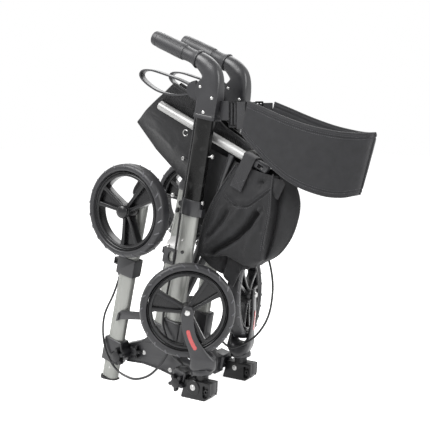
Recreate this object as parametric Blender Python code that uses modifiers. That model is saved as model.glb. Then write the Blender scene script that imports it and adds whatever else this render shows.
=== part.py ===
# Folding rollator, standing folded on its two front blocks and two leg feet.
# Metres, +Z up. +X is the way it rolls forward, -Y is its right-hand side.

import math

import bmesh
import bpy
from mathutils import Matrix, Vector

# Shared clearances
GAP = 0.0003
SLIDE_GAP = 0.0005

# Lean of the parts in the folded attitude, in degrees
SEAT_TILT = 26.2
POST_LEAN = 10.7
LEG_LEAN = 13.1
GRIP_RISE = 23.9
BAND_LEAN = 14.0

# Lateral places, as distances from the middle plane
POST_Y = 0.053
RAIL_Y = 0.027
ARM_IN_Y = 0.038
ARM_OUT_Y = 0.0685
LEG_Y = 0.0838
CASTER_Y = 0.078
REAR_WHEEL_Y = 0.120

# Post, height tube and collar
POST_WIDTH = 0.0375
POST_DEPTH = 0.022
POST_WALL = 0.002
SOCKET_TOP_Z = 0.152
SOCKET_DEPTH = 0.050
HEIGHT_WALL = 0.0018
HEIGHT_TOP = (0.0130, 0.5880)
POST_TOP_Z = HEIGHT_TOP[1] - 0.0140
HEIGHT_LENGTH = 0.206
COLLAR_LENGTH = 0.034
COLLAR_WALL = 0.0026
COLLAR_SIDE_WALL = 0.0016

# Handle head, lever and grip
HEAD_DEPTH = 0.032
HEAD_ROUND = 0.007
HEAD_FRONT = 0.006
GRIP_START = (HEIGHT_TOP[0] - 0.0145, HEIGHT_TOP[1] + 0.1175)
GRIP_LENGTH = 0.127
GRIP_RADIUS = 0.0152
FLANGE_RADIUS = 0.0190
LEVER_PIVOT = (HEIGHT_TOP[0] - 0.0275, HEIGHT_TOP[1] + 0.0570)
LEVER_WIDTH = 0.016
LEVER_BAND = 0.0036
LEVER_LUG_RADIUS = 0.0080
LEVER_PIN_RADIUS = 0.0025

# Lower arm and caster block
ARM_ROUND = 0.004
FLIP_POINT = (0.0187, 0.0300)
BLOCK_BACK = 0.0340
BLOCK_HALF_WIDTH = 0.021
LUG_LENGTH = 0.034
LUG_HEIGHT = 0.034
LUG_OUT = 0.016

# Rear leg and its socket
LEG_WIDTH = 0.040
LEG_DEPTH = 0.023
LEG_PIVOT = (-0.1911, 0.0620)
FOOT_X = -0.2315
FOOT_HEIGHT = 0.0125
FOOT_WALL = 0.002
REAR_AXLE_Z = 0.392
LEG_PAST_AXLE = 0.036
SOCKET_LOW_Z = 0.043
SOCKET_HIGH_Z = 0.097
SOCKET_WALL = 0.003
BRAKE_LOW_Z = 0.245
BRAKE_HIGH_Z = 0.281

# Wheels
WHEEL_RADIUS = 0.100
TYRE_WIDTH = 0.030
REAR_TYRE_WIDTH = 0.035
TYRE_THICK = 0.016
RIM_THICK = 0.010
RIM_WIDTH = 0.022
HUB_RADIUS = 0.015
HUB_HALF_WIDTH = 0.017
AXLE_RADIUS = 0.004
AXLE_HEAD_RADIUS = 0.009
AXLE_HEAD_LENGTH = 0.004
SPOKE_PAIRS = 3
SPOKE_WIDTH = 0.0075
SPOKE_DEPTH = 0.017
SPOKE_SPREAD = 0.0130

# Caster fork
CASTER_TRAIL = 0.030
FORK_IN = TYRE_WIDTH / 2 + 0.0035
FORK_PLATE = 0.006
CROWN_TOP_Z = 0.086
FRONT_AXLE_Z = CROWN_TOP_Z + 0.003 + WHEEL_RADIUS
CROWN_FOOT_RADIUS = 0.0235
CROWN_FOOT_Z = 0.0625
STEM_RADIUS = 0.006
STEM_DEPTH = 0.028
RIGHT_SWIVEL = 35.0
LEFT_SWIVEL = 75.0
REFLECTOR_SIZE = (0.0085, 0.0016, 0.042)

# Seat rails and cross braces
RAIL_POINT = (-0.0326, 0.5700)
RAIL_RADIUS = 0.010
RAIL_WALL = 0.0015
RAIL_BACK = 0.1020
RAIL_FRONT = 0.1420
RAIL_END_LENGTH = 0.058
RAIL_END_WIDTH = 0.017
RAIL_END_DEPTH = 0.016
BRACE_LENGTH = 0.470
BRACE_TOP_ALONG = 0.120
BRACE_RADIUS = 0.008
BRACE_OFFSET = 0.011
BRACE_PIN_RADIUS = 0.0035
BRACE_HEAD_RADIUS = 0.0065
BRACE_HEAD_LENGTH = 0.003

# Knobs and button
KNOB_RADIUS = 0.016
KNOB_LOBES = 5
KNOB_THICK = 0.011
KNOB_SHAFT_RADIUS = 0.004
FRONT_KNOB = (-0.0325, 0.0300)
FRONT_KNOB_RADIUS = 0.013
BUTTON_Z = 0.304
BUTTON_RADIUS = 0.0036
BUTTON_HEIGHT = 0.0030

# Soft pieces
SEAT_CLOTH = 0.006
SEAT_CLOTH_Y = 0.0115
BAND_CLOTH = 0.007
BAG_HALF_WIDTH = 0.038
CABLE_RADIUS = 0.0025

COLLECTION = "folding_rollator"


def leaning(degrees):
    """Unit vector in the side plane that leans forward by this angle from straight up."""
    angle = math.radians(degrees)
    return Vector((math.sin(angle), 0, math.cos(angle)))


def along_slope(degrees):
    """Unit vector in the side plane that points forward and down by this angle."""
    angle = math.radians(degrees)
    return Vector((math.cos(angle), 0, -math.sin(angle)))


RAIL_WAY = along_slope(SEAT_TILT)
SEAT_UP = leaning(SEAT_TILT)
POST_WAY = leaning(POST_LEAN)
LEG_WAY = leaning(LEG_LEAN)
FLIP_WAY = along_slope(SEAT_TILT / 2)
GRIP_WAY = Vector((-math.cos(math.radians(GRIP_RISE)), 0, math.sin(math.radians(GRIP_RISE))))
BAND_WAY = leaning(BAND_LEAN)


def side_point(pair, y=0.0):
    return Vector((pair[0], y, pair[1]))


def on_line(point, way, z):
    """The point at height z on the line through point along way."""
    return point + way * ((z - point.z) / way.z)


# Materials


def make_material(name, colour, roughness, metallic=0.0):
    material = bpy.data.materials.new(name)
    material.use_nodes = True
    shader = material.node_tree.nodes["Principled BSDF"]
    shader.inputs["Base Color"].default_value = (*colour, 1.0)
    shader.inputs["Roughness"].default_value = roughness
    shader.inputs["Metallic"].default_value = metallic
    material.diffuse_color = (*colour, 1.0)
    return material


FINISHES = {
    "satin_black": ((0.022, 0.022, 0.024), 0.42, 0.0),
    "tube_black": ((0.016, 0.016, 0.018), 0.28, 0.4),
    "champagne": ((0.50, 0.49, 0.45), 0.34, 0.85),
    "aluminium": ((0.78, 0.79, 0.80), 0.22, 0.95),
    "rubber": ((0.035, 0.035, 0.038), 0.60, 0.0),
    "cloth": ((0.018, 0.018, 0.020), 0.90, 0.0),
    "steel": ((0.62, 0.62, 0.62), 0.30, 0.95),
    "red": ((0.55, 0.02, 0.02), 0.25, 0.0),
}

nodes = {}


def finish_node(obj, name, finish):
    """Name the object, give it a material of its own and keep it in the object's collection."""
    obj.name = name
    obj.data.name = name
    obj.data.materials.clear()
    obj.data.materials.append(make_material(name, *FINISHES[finish]))
    nodes[name] = obj
    return obj


# Modelling tools


def add_mesh(mesh_or_bm):
    mesh = mesh_or_bm
    if isinstance(mesh_or_bm, bmesh.types.BMesh):
        bmesh.ops.recalc_face_normals(mesh_or_bm, faces=mesh_or_bm.faces)
        mesh = bpy.data.meshes.new("piece")
        mesh_or_bm.to_mesh(mesh)
        mesh_or_bm.free()
    obj = bpy.data.objects.new("piece", mesh)
    collection.objects.link(obj)
    return obj


def baked(obj):
    """The object as a plain mesh in world space, with its modifiers applied."""
    bpy.context.view_layer.update()
    graph = bpy.context.evaluated_depsgraph_get()
    mesh = bpy.data.meshes.new_from_object(obj.evaluated_get(graph))
    mesh.transform(obj.matrix_world)
    if obj.matrix_world.determinant() < 0:
        mesh.flip_normals()
    bm = bmesh.new()
    bm.from_mesh(mesh)
    bmesh.ops.remove_doubles(bm, verts=bm.verts, dist=1e-6)
    bmesh.ops.recalc_face_normals(bm, faces=bm.faces)
    bm.to_mesh(mesh)
    bm.free()
    bpy.data.objects.remove(obj)
    return add_mesh(mesh)


def combine(obj, others, operation):
    """Boolean of obj with each of the others, which are used up."""
    for other in others:
        modifier = obj.modifiers.new(operation.lower(), "BOOLEAN")
        modifier.operation = operation
        modifier.solver = "EXACT"
        modifier.object = other
        obj = baked(obj)
        bpy.data.objects.remove(other)
    return obj


def cut(obj, *cutters):
    return combine(obj, cutters, "DIFFERENCE")


def joined(obj, *others):
    return combine(obj, others, "UNION")


def frame_at(origin, z_way, y_hint=Vector((0, 1, 0))):
    """Matrix that puts local Z along z_way and local Y as near to y_hint as it can be."""
    z = Vector(z_way).normalized()
    hint = Vector(y_hint)
    if abs(hint.normalized().dot(z)) > 0.99:
        hint = Vector((1, 0, 0))
    x = hint.cross(z).normalized()
    y = z.cross(x)
    matrix = Matrix((x, y, z)).transposed().to_4x4()
    matrix.translation = origin
    return matrix


def rounded(obj, width, segments=2, angle=40.0):
    modifier = obj.modifiers.new("edges", "BEVEL")
    modifier.width = width
    modifier.segments = segments
    modifier.limit_method = "ANGLE"
    modifier.angle_limit = math.radians(angle)
    return baked(obj)


def rod(start, end, radius_x, radius_y=None, sides=16, y_hint=Vector((0, 1, 0))):
    """A straight round or oval bar from start to end."""
    start = Vector(start)
    way = Vector(end) - start
    bm = bmesh.new()
    bmesh.ops.create_cone(
        bm, cap_ends=True, segments=sides, radius1=1, radius2=1, depth=way.length
    )
    bmesh.ops.scale(bm, vec=(radius_x, radius_y or radius_x, 1), verts=bm.verts)
    bmesh.ops.transform(
        bm, matrix=frame_at(start + way / 2, way, y_hint), verts=bm.verts
    )
    return add_mesh(bm)


def rounded_bar(start, end, width, depth, sides=16, power=2.6):
    """A bar whose section is a flattened oval, width in the side plane and depth across it."""
    start = Vector(start)
    way = Vector(end) - start
    curve = bpy.data.curves.new("section", "CURVE")
    curve.dimensions = "2D"
    curve.fill_mode = "BOTH"
    curve.extrude = way.length / 2
    spline = curve.splines.new("POLY")
    spline.points.add(sides - 1)
    for index, point in enumerate(spline.points):
        angle = 2 * math.pi * (index + 0.5) / sides
        x = math.copysign(abs(math.cos(angle)) ** (2 / power), math.cos(angle))
        y = math.copysign(abs(math.sin(angle)) ** (2 / power), math.sin(angle))
        point.co = (x * width / 2, y * depth / 2, 0, 1)
    spline.use_cyclic_u = True
    obj = bpy.data.objects.new("piece", curve)
    collection.objects.link(obj)
    obj.matrix_world = frame_at(start + way / 2, way)
    return baked(obj)


def slab(outline, y_low, y_high, holes=()):
    """A flat plate whose outline is drawn in the side plane, from y_low to y_high."""
    curve = bpy.data.curves.new("outline", "CURVE")
    curve.dimensions = "2D"
    curve.fill_mode = "BOTH"
    curve.extrude = abs(y_high - y_low) / 2
    for loop in (outline, *holes):
        spline = curve.splines.new("POLY")
        spline.points.add(len(loop) - 1)
        for point, (x, z) in zip(spline.points, loop):
            point.co = (x, z, 0, 1)
        spline.use_cyclic_u = True
    obj = bpy.data.objects.new("piece", curve)
    collection.objects.link(obj)
    middle = Vector((0, (y_low + y_high) / 2, 0))
    obj.matrix_world = Matrix.Translation(middle) @ Matrix.Rotation(math.pi / 2, 4, "X")
    return baked(obj)


def box(low, high):
    low = Vector(low)
    high = Vector(high)
    bm = bmesh.new()
    bmesh.ops.create_cube(bm, size=1)
    bmesh.ops.scale(bm, vec=high - low, verts=bm.verts)
    bmesh.ops.translate(bm, vec=(low + high) / 2, verts=bm.verts)
    return add_mesh(bm)


def oriented_box(centre, size, z_way, y_hint=Vector((0, 1, 0))):
    bm = bmesh.new()
    bmesh.ops.create_cube(bm, size=1)
    bmesh.ops.scale(bm, vec=size, verts=bm.verts)
    bmesh.ops.transform(bm, matrix=frame_at(centre, z_way, y_hint), verts=bm.verts)
    return add_mesh(bm)


def turned(profile, origin, z_way, steps=24, ring=False):
    """A profile of (radius, height) pairs turned about z_way. A ring's profile closes on itself."""
    bm = bmesh.new()
    points = [bm.verts.new((radius, 0, height)) for radius, height in profile]
    for first, second in zip(points, points[1:]):
        bm.edges.new((first, second))
    if ring:
        bm.edges.new((points[-1], points[0]))
    mesh = bpy.data.meshes.new("profile")
    bm.to_mesh(mesh)
    bm.free()
    obj = add_mesh(mesh)
    screw = obj.modifiers.new("turn", "SCREW")
    screw.steps = steps
    screw.render_steps = steps
    screw.use_merge_vertices = True
    screw.merge_threshold = 0.00001
    obj.matrix_world = frame_at(origin, z_way, Vector((0.13, 0.31, 0.57)))
    return baked(obj)


def wire(points, radius, resolution=2):
    """A round wire along a smooth curve through the points."""
    curve = bpy.data.curves.new("route", "CURVE")
    curve.dimensions = "3D"
    curve.bevel_depth = radius
    curve.bevel_resolution = resolution
    curve.use_fill_caps = True
    spline = curve.splines.new("POLY")
    spline.points.add(len(points) - 1)
    for target, point in zip(spline.points, points):
        target.co = (*point, 1)
    obj = bpy.data.objects.new("piece", curve)
    collection.objects.link(obj)
    return baked(obj)


def smooth_route(points, spacing):
    """Points at an even spacing on a Catmull-Rom curve through the given points."""
    knots = [Vector(point) for point in points]
    knots = [2 * knots[0] - knots[1], *knots, 2 * knots[-1] - knots[-2]]
    fine = []
    for a, b, c, d in zip(knots, knots[1:], knots[2:], knots[3:]):
        for step in range(20):
            t = step / 20
            fine.append(
                0.5
                * (
                    2 * b
                    + (c - a) * t
                    + (2 * a - 5 * b + 4 * c - d) * t**2
                    + (3 * b - a - 3 * c + d) * t**3
                )
            )
    fine.append(knots[-2])
    length = sum((q - p).length for p, q in zip(fine, fine[1:]))
    count = max(2, round(length / spacing))
    result = [fine[0]]
    travelled = 0.0
    for p, q in zip(fine, fine[1:]):
        step = (q - p).length
        while len(result) < count and travelled + step >= length * len(result) / count:
            result.append(p.lerp(q, (length * len(result) / count - travelled) / step))
        travelled += step
    result.append(fine[-1])
    return result, length


def mirror_y(obj):
    """Turn a right-hand piece into the left-hand one."""
    obj.data.transform(Matrix.Scale(-1, 4, Vector((0, 1, 0))))
    obj.data.flip_normals()
    return obj


def on_side(build, side, name, finish):
    """Build a right-hand piece and mirror it when it belongs on the left."""
    obj = build()
    if side == "left":
        mirror_y(obj)
    return finish_node(obj, f"{side}_{name}", finish)


# Posts, height tubes and handles. Every piece is built on the right-hand side.

POST_REF = side_point(HEIGHT_TOP, -POST_Y)
ACROSS_POST = along_slope(POST_LEAN)
BORE_WIDTH = POST_WIDTH + 2 * SLIDE_GAP
BORE_DEPTH = POST_DEPTH + 2 * SLIDE_GAP
HEIGHT_WIDTH = BORE_WIDTH + 2 * HEIGHT_WALL
HEIGHT_DEPTH = BORE_DEPTH + 2 * HEIGHT_WALL


def post_tube():
    bottom = on_line(POST_REF, POST_WAY, SOCKET_TOP_Z) - POST_WAY * SOCKET_DEPTH
    top = on_line(POST_REF, POST_WAY, POST_TOP_Z)
    tube = rounded_bar(bottom, top, POST_WIDTH, POST_DEPTH)
    inside = (POST_WIDTH - 2 * POST_WALL, POST_DEPTH - 2 * POST_WALL)
    bore = rounded_bar(bottom - POST_WAY * 0.01, top + POST_WAY * 0.01, *inside)
    button = on_line(POST_REF, POST_WAY, BUTTON_Z)
    outward = Vector((0, -POST_DEPTH, 0))
    hole = rod(button, button + outward, BUTTON_RADIUS + SLIDE_GAP, sides=12)
    return cut(tube, bore, hole)


def lock_button():
    centre = on_line(POST_REF, POST_WAY, BUTTON_Z)
    face = centre.y - POST_DEPTH / 2
    inner = Vector((centre.x, face + POST_WALL + 0.002, centre.z))
    outer = Vector((centre.x, face - BUTTON_HEIGHT, centre.z))
    rim = Vector((centre.x, face + POST_WALL + SLIDE_GAP, centre.z))
    return joined(
        rod(inner, outer, BUTTON_RADIUS, sides=12),
        rod(rim, inner, BUTTON_RADIUS * 1.35, sides=12),
    )


def height_tube():
    top = POST_REF
    bottom = top - POST_WAY * HEIGHT_LENGTH
    tube = rounded_bar(bottom, top, HEIGHT_WIDTH, HEIGHT_DEPTH)
    bore_ends = (bottom - POST_WAY * 0.01, top + POST_WAY * 0.01)
    return cut(tube, rounded_bar(*bore_ends, BORE_WIDTH, BORE_DEPTH))


def post_collar():
    """A band round the foot of the height tube, with a clip at its front."""
    low = POST_REF - POST_WAY * (HEIGHT_LENGTH + 0.002)
    high = low + POST_WAY * COLLAR_LENGTH
    bore = (HEIGHT_WIDTH + 2 * GAP, HEIGHT_DEPTH + 2 * GAP)
    outside = (bore[0] + 2 * COLLAR_WALL, bore[1] + 2 * COLLAR_SIDE_WALL)
    band = rounded_bar(low, high, *outside)
    clip_at = low + POST_WAY * 0.010 + ACROSS_POST * (outside[0] / 2 + 0.002)
    clip = oriented_box(clip_at, (0.008, 0.014, 0.016), POST_WAY)
    band = joined(band, clip)
    bore_ends = (low - POST_WAY * 0.01, high + POST_WAY * 0.01)
    return cut(band, rounded_bar(*bore_ends, *bore))


def bezier(start, first, second, end, count):
    points = []
    for index in range(count + 1):
        t = index / count
        s = 1 - t
        points.append(s**3 * start + 3 * s * s * t * first + 3 * s * t * t * second + t**3 * end)
    return points


def handle_head():
    """The moulded elbow between the height tube and the grip, with two ears for the lever."""
    foot = side_point(HEIGHT_TOP) + POST_WAY * GAP
    half = HEIGHT_WIDTH / 2 + 0.0018
    grip = side_point(GRIP_START)
    grip_up = Vector((-GRIP_WAY.z, 0, GRIP_WAY.x)) * -1
    flange_top = grip + grip_up * 0.0165
    flange_low = grip - grip_up * 0.0165
    front = foot + ACROSS_POST * (half + HEAD_FRONT)
    back = foot - ACROSS_POST * half
    curve = bezier(front, front + POST_WAY * 0.083, flange_top - GRIP_WAY * 0.064, flange_top, 9)
    pivot = side_point(LEVER_PIVOT)
    nose = 0.0100
    lower_side = [
        grip + Vector((-0.0005, 0, -0.0220)),
        grip + Vector((0.0030, 0, -0.0335)),
        pivot + Vector((0.0085, 0, 0.0140)),
        pivot + Vector((-0.0070, 0, nose)),
        pivot + Vector((-nose, 0, 0.0060)),
        pivot + Vector((-nose, 0, -0.0060)),
        pivot + Vector((-0.0070, 0, -nose)),
        pivot + Vector((0.0090, 0, -0.0140)),
    ]
    outline = [(point.x, point.z) for point in (*curve, flange_low, *lower_side, back)]
    head = slab(outline, -POST_Y - HEAD_DEPTH / 2, -POST_Y + HEAD_DEPTH / 2)
    head = rounded(head, HEAD_ROUND, segments=2, angle=50)
    slot_half = LEVER_WIDTH / 2 + SLIDE_GAP
    reach = LEVER_LUG_RADIUS + SLIDE_GAP
    slot = box(
        (pivot.x - 0.030, -POST_Y - slot_half, pivot.z - 0.016),
        (pivot.x + reach, -POST_Y + slot_half, pivot.z + 0.016),
    )
    pin_half = Vector((0, HEAD_DEPTH / 2 - 0.002, 0))
    centre = side_point(LEVER_PIVOT, -POST_Y)
    pin = rod(centre - pin_half, centre + pin_half, LEVER_PIN_RADIUS, sides=12)
    return joined(cut(head, slot), pin)


def closed_smooth(points, per=3):
    """A closed outline through the points, with this many steps between each two."""
    count = len(points)
    result = []
    for index in range(count):
        a, b, c, d = (Vector(points[(index + step - 1) % count]) for step in range(4))
        for step in range(per):
            t = step / per
            result.append(
                0.5
                * (
                    2 * b
                    + (c - a) * t
                    + (2 * a - 5 * b + 4 * c - d) * t**2
                    + (3 * b - a - 3 * c + d) * t**3
                )
            )
    return result


def offset_loop(points, distance):
    """The closed outline moved sideways by distance at every point."""
    result = []
    for index, point in enumerate(points):
        way = points[(index + 1) % len(points)] - points[index - 1]
        side = Vector((way.y, -way.x)).normalized()
        result.append(point + side * distance)
    return result


LEVER_LOOP = (
    # places from the lever's pivot, forward and up
    (-0.0015, 0.0050),
    (-0.0355, 0.0210),
    (-0.0755, 0.0340),
    (-0.1075, 0.0430),
    (-0.1305, 0.0440),
    (-0.1395, 0.0360),
    (-0.1325, 0.0240),
    (-0.1105, 0.0085),
    (-0.0835, -0.0035),
    (-0.0455, -0.0100),
    (-0.0055, -0.0070),
)


def brake_lever():
    """A flat band bent into a long loop that ends in a round lug at its pivot."""
    px, pz = LEVER_PIVOT
    loop = closed_smooth([(px + x, pz + z) for x, z in LEVER_LOOP])
    outer = [tuple(point) for point in offset_loop(loop, -LEVER_BAND / 2)]
    inner = [tuple(point) for point in offset_loop(loop, LEVER_BAND / 2)]
    low = -POST_Y - LEVER_WIDTH / 2
    high = -POST_Y + LEVER_WIDTH / 2
    band = slab(outer, low, high, holes=(inner,))
    pivot = side_point(LEVER_PIVOT)
    ends = (pivot + Vector((0, low + 0.0002, 0)), pivot + Vector((0, high - 0.0002, 0)))
    lug = rod(*ends, LEVER_LUG_RADIUS, sides=20)
    wide = Vector((0, 0.01, 0))
    hole = rod(ends[0] - wide, ends[1] + wide, LEVER_PIN_RADIUS + GAP, sides=12)
    return cut(joined(band, lug), hole)


def grip():
    """The rubber sleeve, turned about its own axis from the flange to the rounded end."""
    profile = (
        (0, 0),
        (FLANGE_RADIUS, 0),
        (FLANGE_RADIUS, 0.003),
        (GRIP_RADIUS + 0.0012, 0.010),
        (GRIP_RADIUS - 0.0004, 0.022),
        (GRIP_RADIUS + 0.0003, GRIP_LENGTH * 0.40),
        (GRIP_RADIUS - 0.0004, GRIP_LENGTH * 0.65),
        (GRIP_RADIUS + 0.0006, GRIP_LENGTH * 0.90),
        (GRIP_RADIUS, GRIP_LENGTH - 0.005),
        (GRIP_RADIUS * 0.8, GRIP_LENGTH - 0.001),
        (0, GRIP_LENGTH),
    )
    start = side_point(GRIP_START, -POST_Y) + GRIP_WAY * GAP
    return turned(profile, start, GRIP_WAY, steps=18)


# Seat rails and the cross braces between the two sides

RAIL_REF = side_point(RAIL_POINT)
BRACE_TOP = RAIL_REF + RAIL_WAY * BRACE_TOP_ALONG
BRACE_RISE = math.sqrt(BRACE_LENGTH**2 - (2 * RAIL_Y) ** 2)
BRACE_FOOT = BRACE_TOP - SEAT_UP * BRACE_RISE
BRACE_MIDDLE = (BRACE_TOP + BRACE_FOOT) / 2


def seat_rail():
    start = side_point(RAIL_POINT, -RAIL_Y) - RAIL_WAY * RAIL_BACK
    end = side_point(RAIL_POINT, -RAIL_Y) + RAIL_WAY * RAIL_FRONT
    bore_ends = (start - RAIL_WAY * 0.01, end + RAIL_WAY * 0.01)
    bore = rod(*bore_ends, RAIL_RADIUS - RAIL_WALL, sides=16)
    return cut(rod(start, end, RAIL_RADIUS, sides=16), bore)


def rail_end():
    """The moulded plug in the rail's front end, with a slot for the bag's webbing."""
    tube_end = side_point(RAIL_POINT, -RAIL_Y) + RAIL_WAY * RAIL_FRONT
    plug_radius = RAIL_RADIUS - RAIL_WALL - SLIDE_GAP
    face = tube_end + RAIL_WAY * GAP
    tip = tube_end + RAIL_WAY * RAIL_END_LENGTH
    plug = rod(tube_end - RAIL_WAY * 0.020, face + RAIL_WAY * 0.004, plug_radius, sides=16)
    size = (RAIL_END_WIDTH, RAIL_END_DEPTH, (tip - face).length)
    body = rounded(oriented_box((face + tip) / 2, size, RAIL_WAY), 0.003, segments=1)
    slot_at = tip - RAIL_WAY * 0.017
    slot = oriented_box(slot_at, (0.008, 0.04, 0.013), RAIL_WAY)
    return cut(joined(plug, body), slot)


def cross_brace(side):
    """A tube from the foot of one side to the seat rail of the other. side is where its foot is."""
    sign = -1 if side == "right" else 1
    offset = RAIL_WAY * (-sign * BRACE_OFFSET)
    foot = BRACE_FOOT + Vector((0, sign * RAIL_Y, 0)) + offset
    top = BRACE_TOP + Vector((0, -sign * RAIL_Y, 0)) + offset
    way = (top - foot).normalized()
    tail = 0.006
    shy = RAIL_RADIUS + 2 * GAP
    tube = rod(foot - way * tail, top - way * shy, BRACE_RADIUS, sides=14)
    reach = RAIL_WAY * (BRACE_RADIUS + 0.004)
    holes = [
        rod(at - reach, at + reach, BRACE_PIN_RADIUS + GAP, sides=14)
        for at in (foot, (foot + top) / 2)
    ]
    return cut(tube, *holes)


def brace_pin():
    half = BRACE_OFFSET + BRACE_RADIUS + GAP
    profile = (
        (0, -half - BRACE_HEAD_LENGTH),
        (BRACE_HEAD_RADIUS, -half - BRACE_HEAD_LENGTH),
        (BRACE_HEAD_RADIUS, -half),
        (BRACE_PIN_RADIUS, -half),
        (BRACE_PIN_RADIUS, half),
        (BRACE_HEAD_RADIUS, half),
        (BRACE_HEAD_RADIUS, half + BRACE_HEAD_LENGTH),
        (0, half + BRACE_HEAD_LENGTH),
    )
    return turned(profile, BRACE_MIDDLE, RAIL_WAY, steps=14)


# Lower arm, caster block and knobs

FLIP_REF = side_point(FLIP_POINT, -CASTER_Y)
FLIP_UP = Vector((-FLIP_WAY.z, 0, FLIP_WAY.x))
LUG_FACE = FLIP_REF - FLIP_WAY * (BLOCK_BACK + 2 * GAP)
STUD_RADIUS = 0.005
STUD_LENGTH = 0.020
STEM_X = FLIP_POINT[0]


def arm_outline():
    """The beam's edge: under side from the rear, the front end, the post socket and the gusset."""
    post = side_point(HEIGHT_TOP)
    socket_top = on_line(post, POST_WAY, SOCKET_TOP_Z)
    half = POST_WIDTH / 2 + 0.0055
    socket_front = socket_top + ACROSS_POST * half
    socket_back = socket_top - ACROSS_POST * half
    front_foot = socket_front - POST_WAY * 0.068
    back_foot = socket_back - POST_WAY * 0.040
    under = [
        (-0.206, 0.047),
        (-0.190, 0.041),
        (-0.145, 0.043),
        (-0.100, 0.037),
        (-0.066, 0.0295),
        (-0.040, 0.016),
        (-0.0245, 0.012),
        (-0.0180, 0.042),
        (-0.0210, 0.050),
    ]
    upper = [
        (front_foot.x + 0.010, front_foot.z - 0.012),
        (front_foot.x, front_foot.z),
        (socket_front.x, socket_front.z),
        (socket_back.x, socket_back.z),
        (back_foot.x, back_foot.z),
        (-0.133, 0.109),
        (-0.152, 0.096),
        (-0.203, 0.080),
        (-0.212, 0.072),
        (-0.213, 0.056),
    ]
    return under + upper


def lower_arm(side):
    """The moulded beam of one side, with its post socket, front lug and inner brace lug."""
    beam = slab(arm_outline(), -ARM_OUT_Y, -ARM_IN_Y)
    beam = rounded(beam, ARM_ROUND * 0.6, segments=1, angle=50)
    lug_middle = LUG_FACE - FLIP_WAY * (LUG_LENGTH / 2) - FLIP_UP * 0.002
    inner_y = -POST_Y
    outer_y = -CASTER_Y - LUG_OUT
    lug_middle.y = (inner_y + outer_y) / 2
    lug_size = (LUG_HEIGHT, inner_y - outer_y, LUG_LENGTH)
    lug = rounded(oriented_box(lug_middle, lug_size, FLIP_WAY), ARM_ROUND, segments=1)

    # Brace lug: a short block beside the brace's foot that carries the brace's pin
    sign = 1 if side == "right" else -1
    foot = BRACE_FOOT + Vector((0, -RAIL_Y, 0))
    near_face = foot + RAIL_WAY * sign * (BRACE_OFFSET - BRACE_RADIUS - 2 * GAP)
    far_face = foot - RAIL_WAY * sign * 0.0130
    inner = -RAIL_Y + 0.008
    outer = -ARM_IN_Y - 0.004
    centre = (near_face + far_face) / 2
    centre.y = (inner + outer) / 2
    size = (0.020, inner - outer, (near_face - far_face).length)
    brace_lug = oriented_box(centre, size, RAIL_WAY)
    pin_end = foot + RAIL_WAY * sign * (BRACE_OFFSET + BRACE_RADIUS + 2 * GAP)
    head_end = pin_end + RAIL_WAY * sign * 0.0022
    pin = rod(far_face + (near_face - far_face) * 0.3, head_end, BRACE_PIN_RADIUS, sides=14)
    head = rod(pin_end, head_end, BRACE_HEAD_RADIUS * 0.85, sides=14)

    socket_end = on_line(POST_REF, POST_WAY, SOCKET_TOP_Z)
    bore_low = socket_end - POST_WAY * (SOCKET_DEPTH + GAP)
    bore_high = socket_end + POST_WAY * 0.02
    fit = (POST_WIDTH + 2 * GAP, POST_DEPTH + 2 * GAP)
    post_bore = rounded_bar(bore_low, bore_high, *fit)
    pivot = side_point(LEG_PIVOT)
    pivot_hole = rod(
        pivot + Vector((0, -ARM_OUT_Y - 0.01, 0)),
        pivot + Vector((0, -ARM_IN_Y + 0.01, 0)),
        KNOB_SHAFT_RADIUS + GAP,
        sides=16,
    )
    stud_hole = rod(
        LUG_FACE + FLIP_WAY * 0.01,
        LUG_FACE - FLIP_WAY * (STUD_LENGTH + 0.001),
        STUD_RADIUS + GAP,
        sides=16,
    )
    knob = side_point(FRONT_KNOB, outer_y)
    knob_hole = rod(
        knob - Vector((0, 0.01, 0)),
        knob + Vector((0, 0.0095, 0)),
        KNOB_SHAFT_RADIUS * 0.75 + GAP,
        sides=12,
    )
    arm = joined(beam, lug, brace_lug, joined(pin, head))
    return cut(arm, post_bore, pivot_hole, stud_hole, knob_hole)


def star_knob(centre, radius, thickness, shaft_radius, shaft_length):
    """A knob with rounded lobes facing outwards, and its shaft reaching inwards."""
    points = []
    count = KNOB_LOBES * 5
    for index in range(count):
        angle = 2 * math.pi * index / count
        reach = radius * (0.86 + 0.14 * math.cos(KNOB_LOBES * angle))
        points.append((centre.x + reach * math.cos(angle), centre.z + reach * math.sin(angle)))
    face = centre.y - GAP
    knob = slab(points, face - thickness, face)
    inside = Vector((centre.x, face + shaft_length, centre.z))
    outside = Vector((centre.x, face - thickness / 2, centre.z))
    return joined(knob, rod(outside, inside, shaft_radius, sides=16))


def rear_knob():
    centre = side_point(LEG_PIVOT, -LEG_Y - LEG_DEPTH / 2 - SOCKET_WALL)
    reach = -centre.y - ARM_IN_Y - 0.001
    return star_knob(centre, KNOB_RADIUS, KNOB_THICK, KNOB_SHAFT_RADIUS, reach)


def front_knob():
    centre = side_point(FRONT_KNOB, -CASTER_Y - LUG_OUT)
    return star_knob(centre, FRONT_KNOB_RADIUS, KNOB_THICK * 0.8, KNOB_SHAFT_RADIUS * 0.75, 0.009)


BLOCK_TOP = 0.0480
BOSS_TOP = 0.0525


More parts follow.
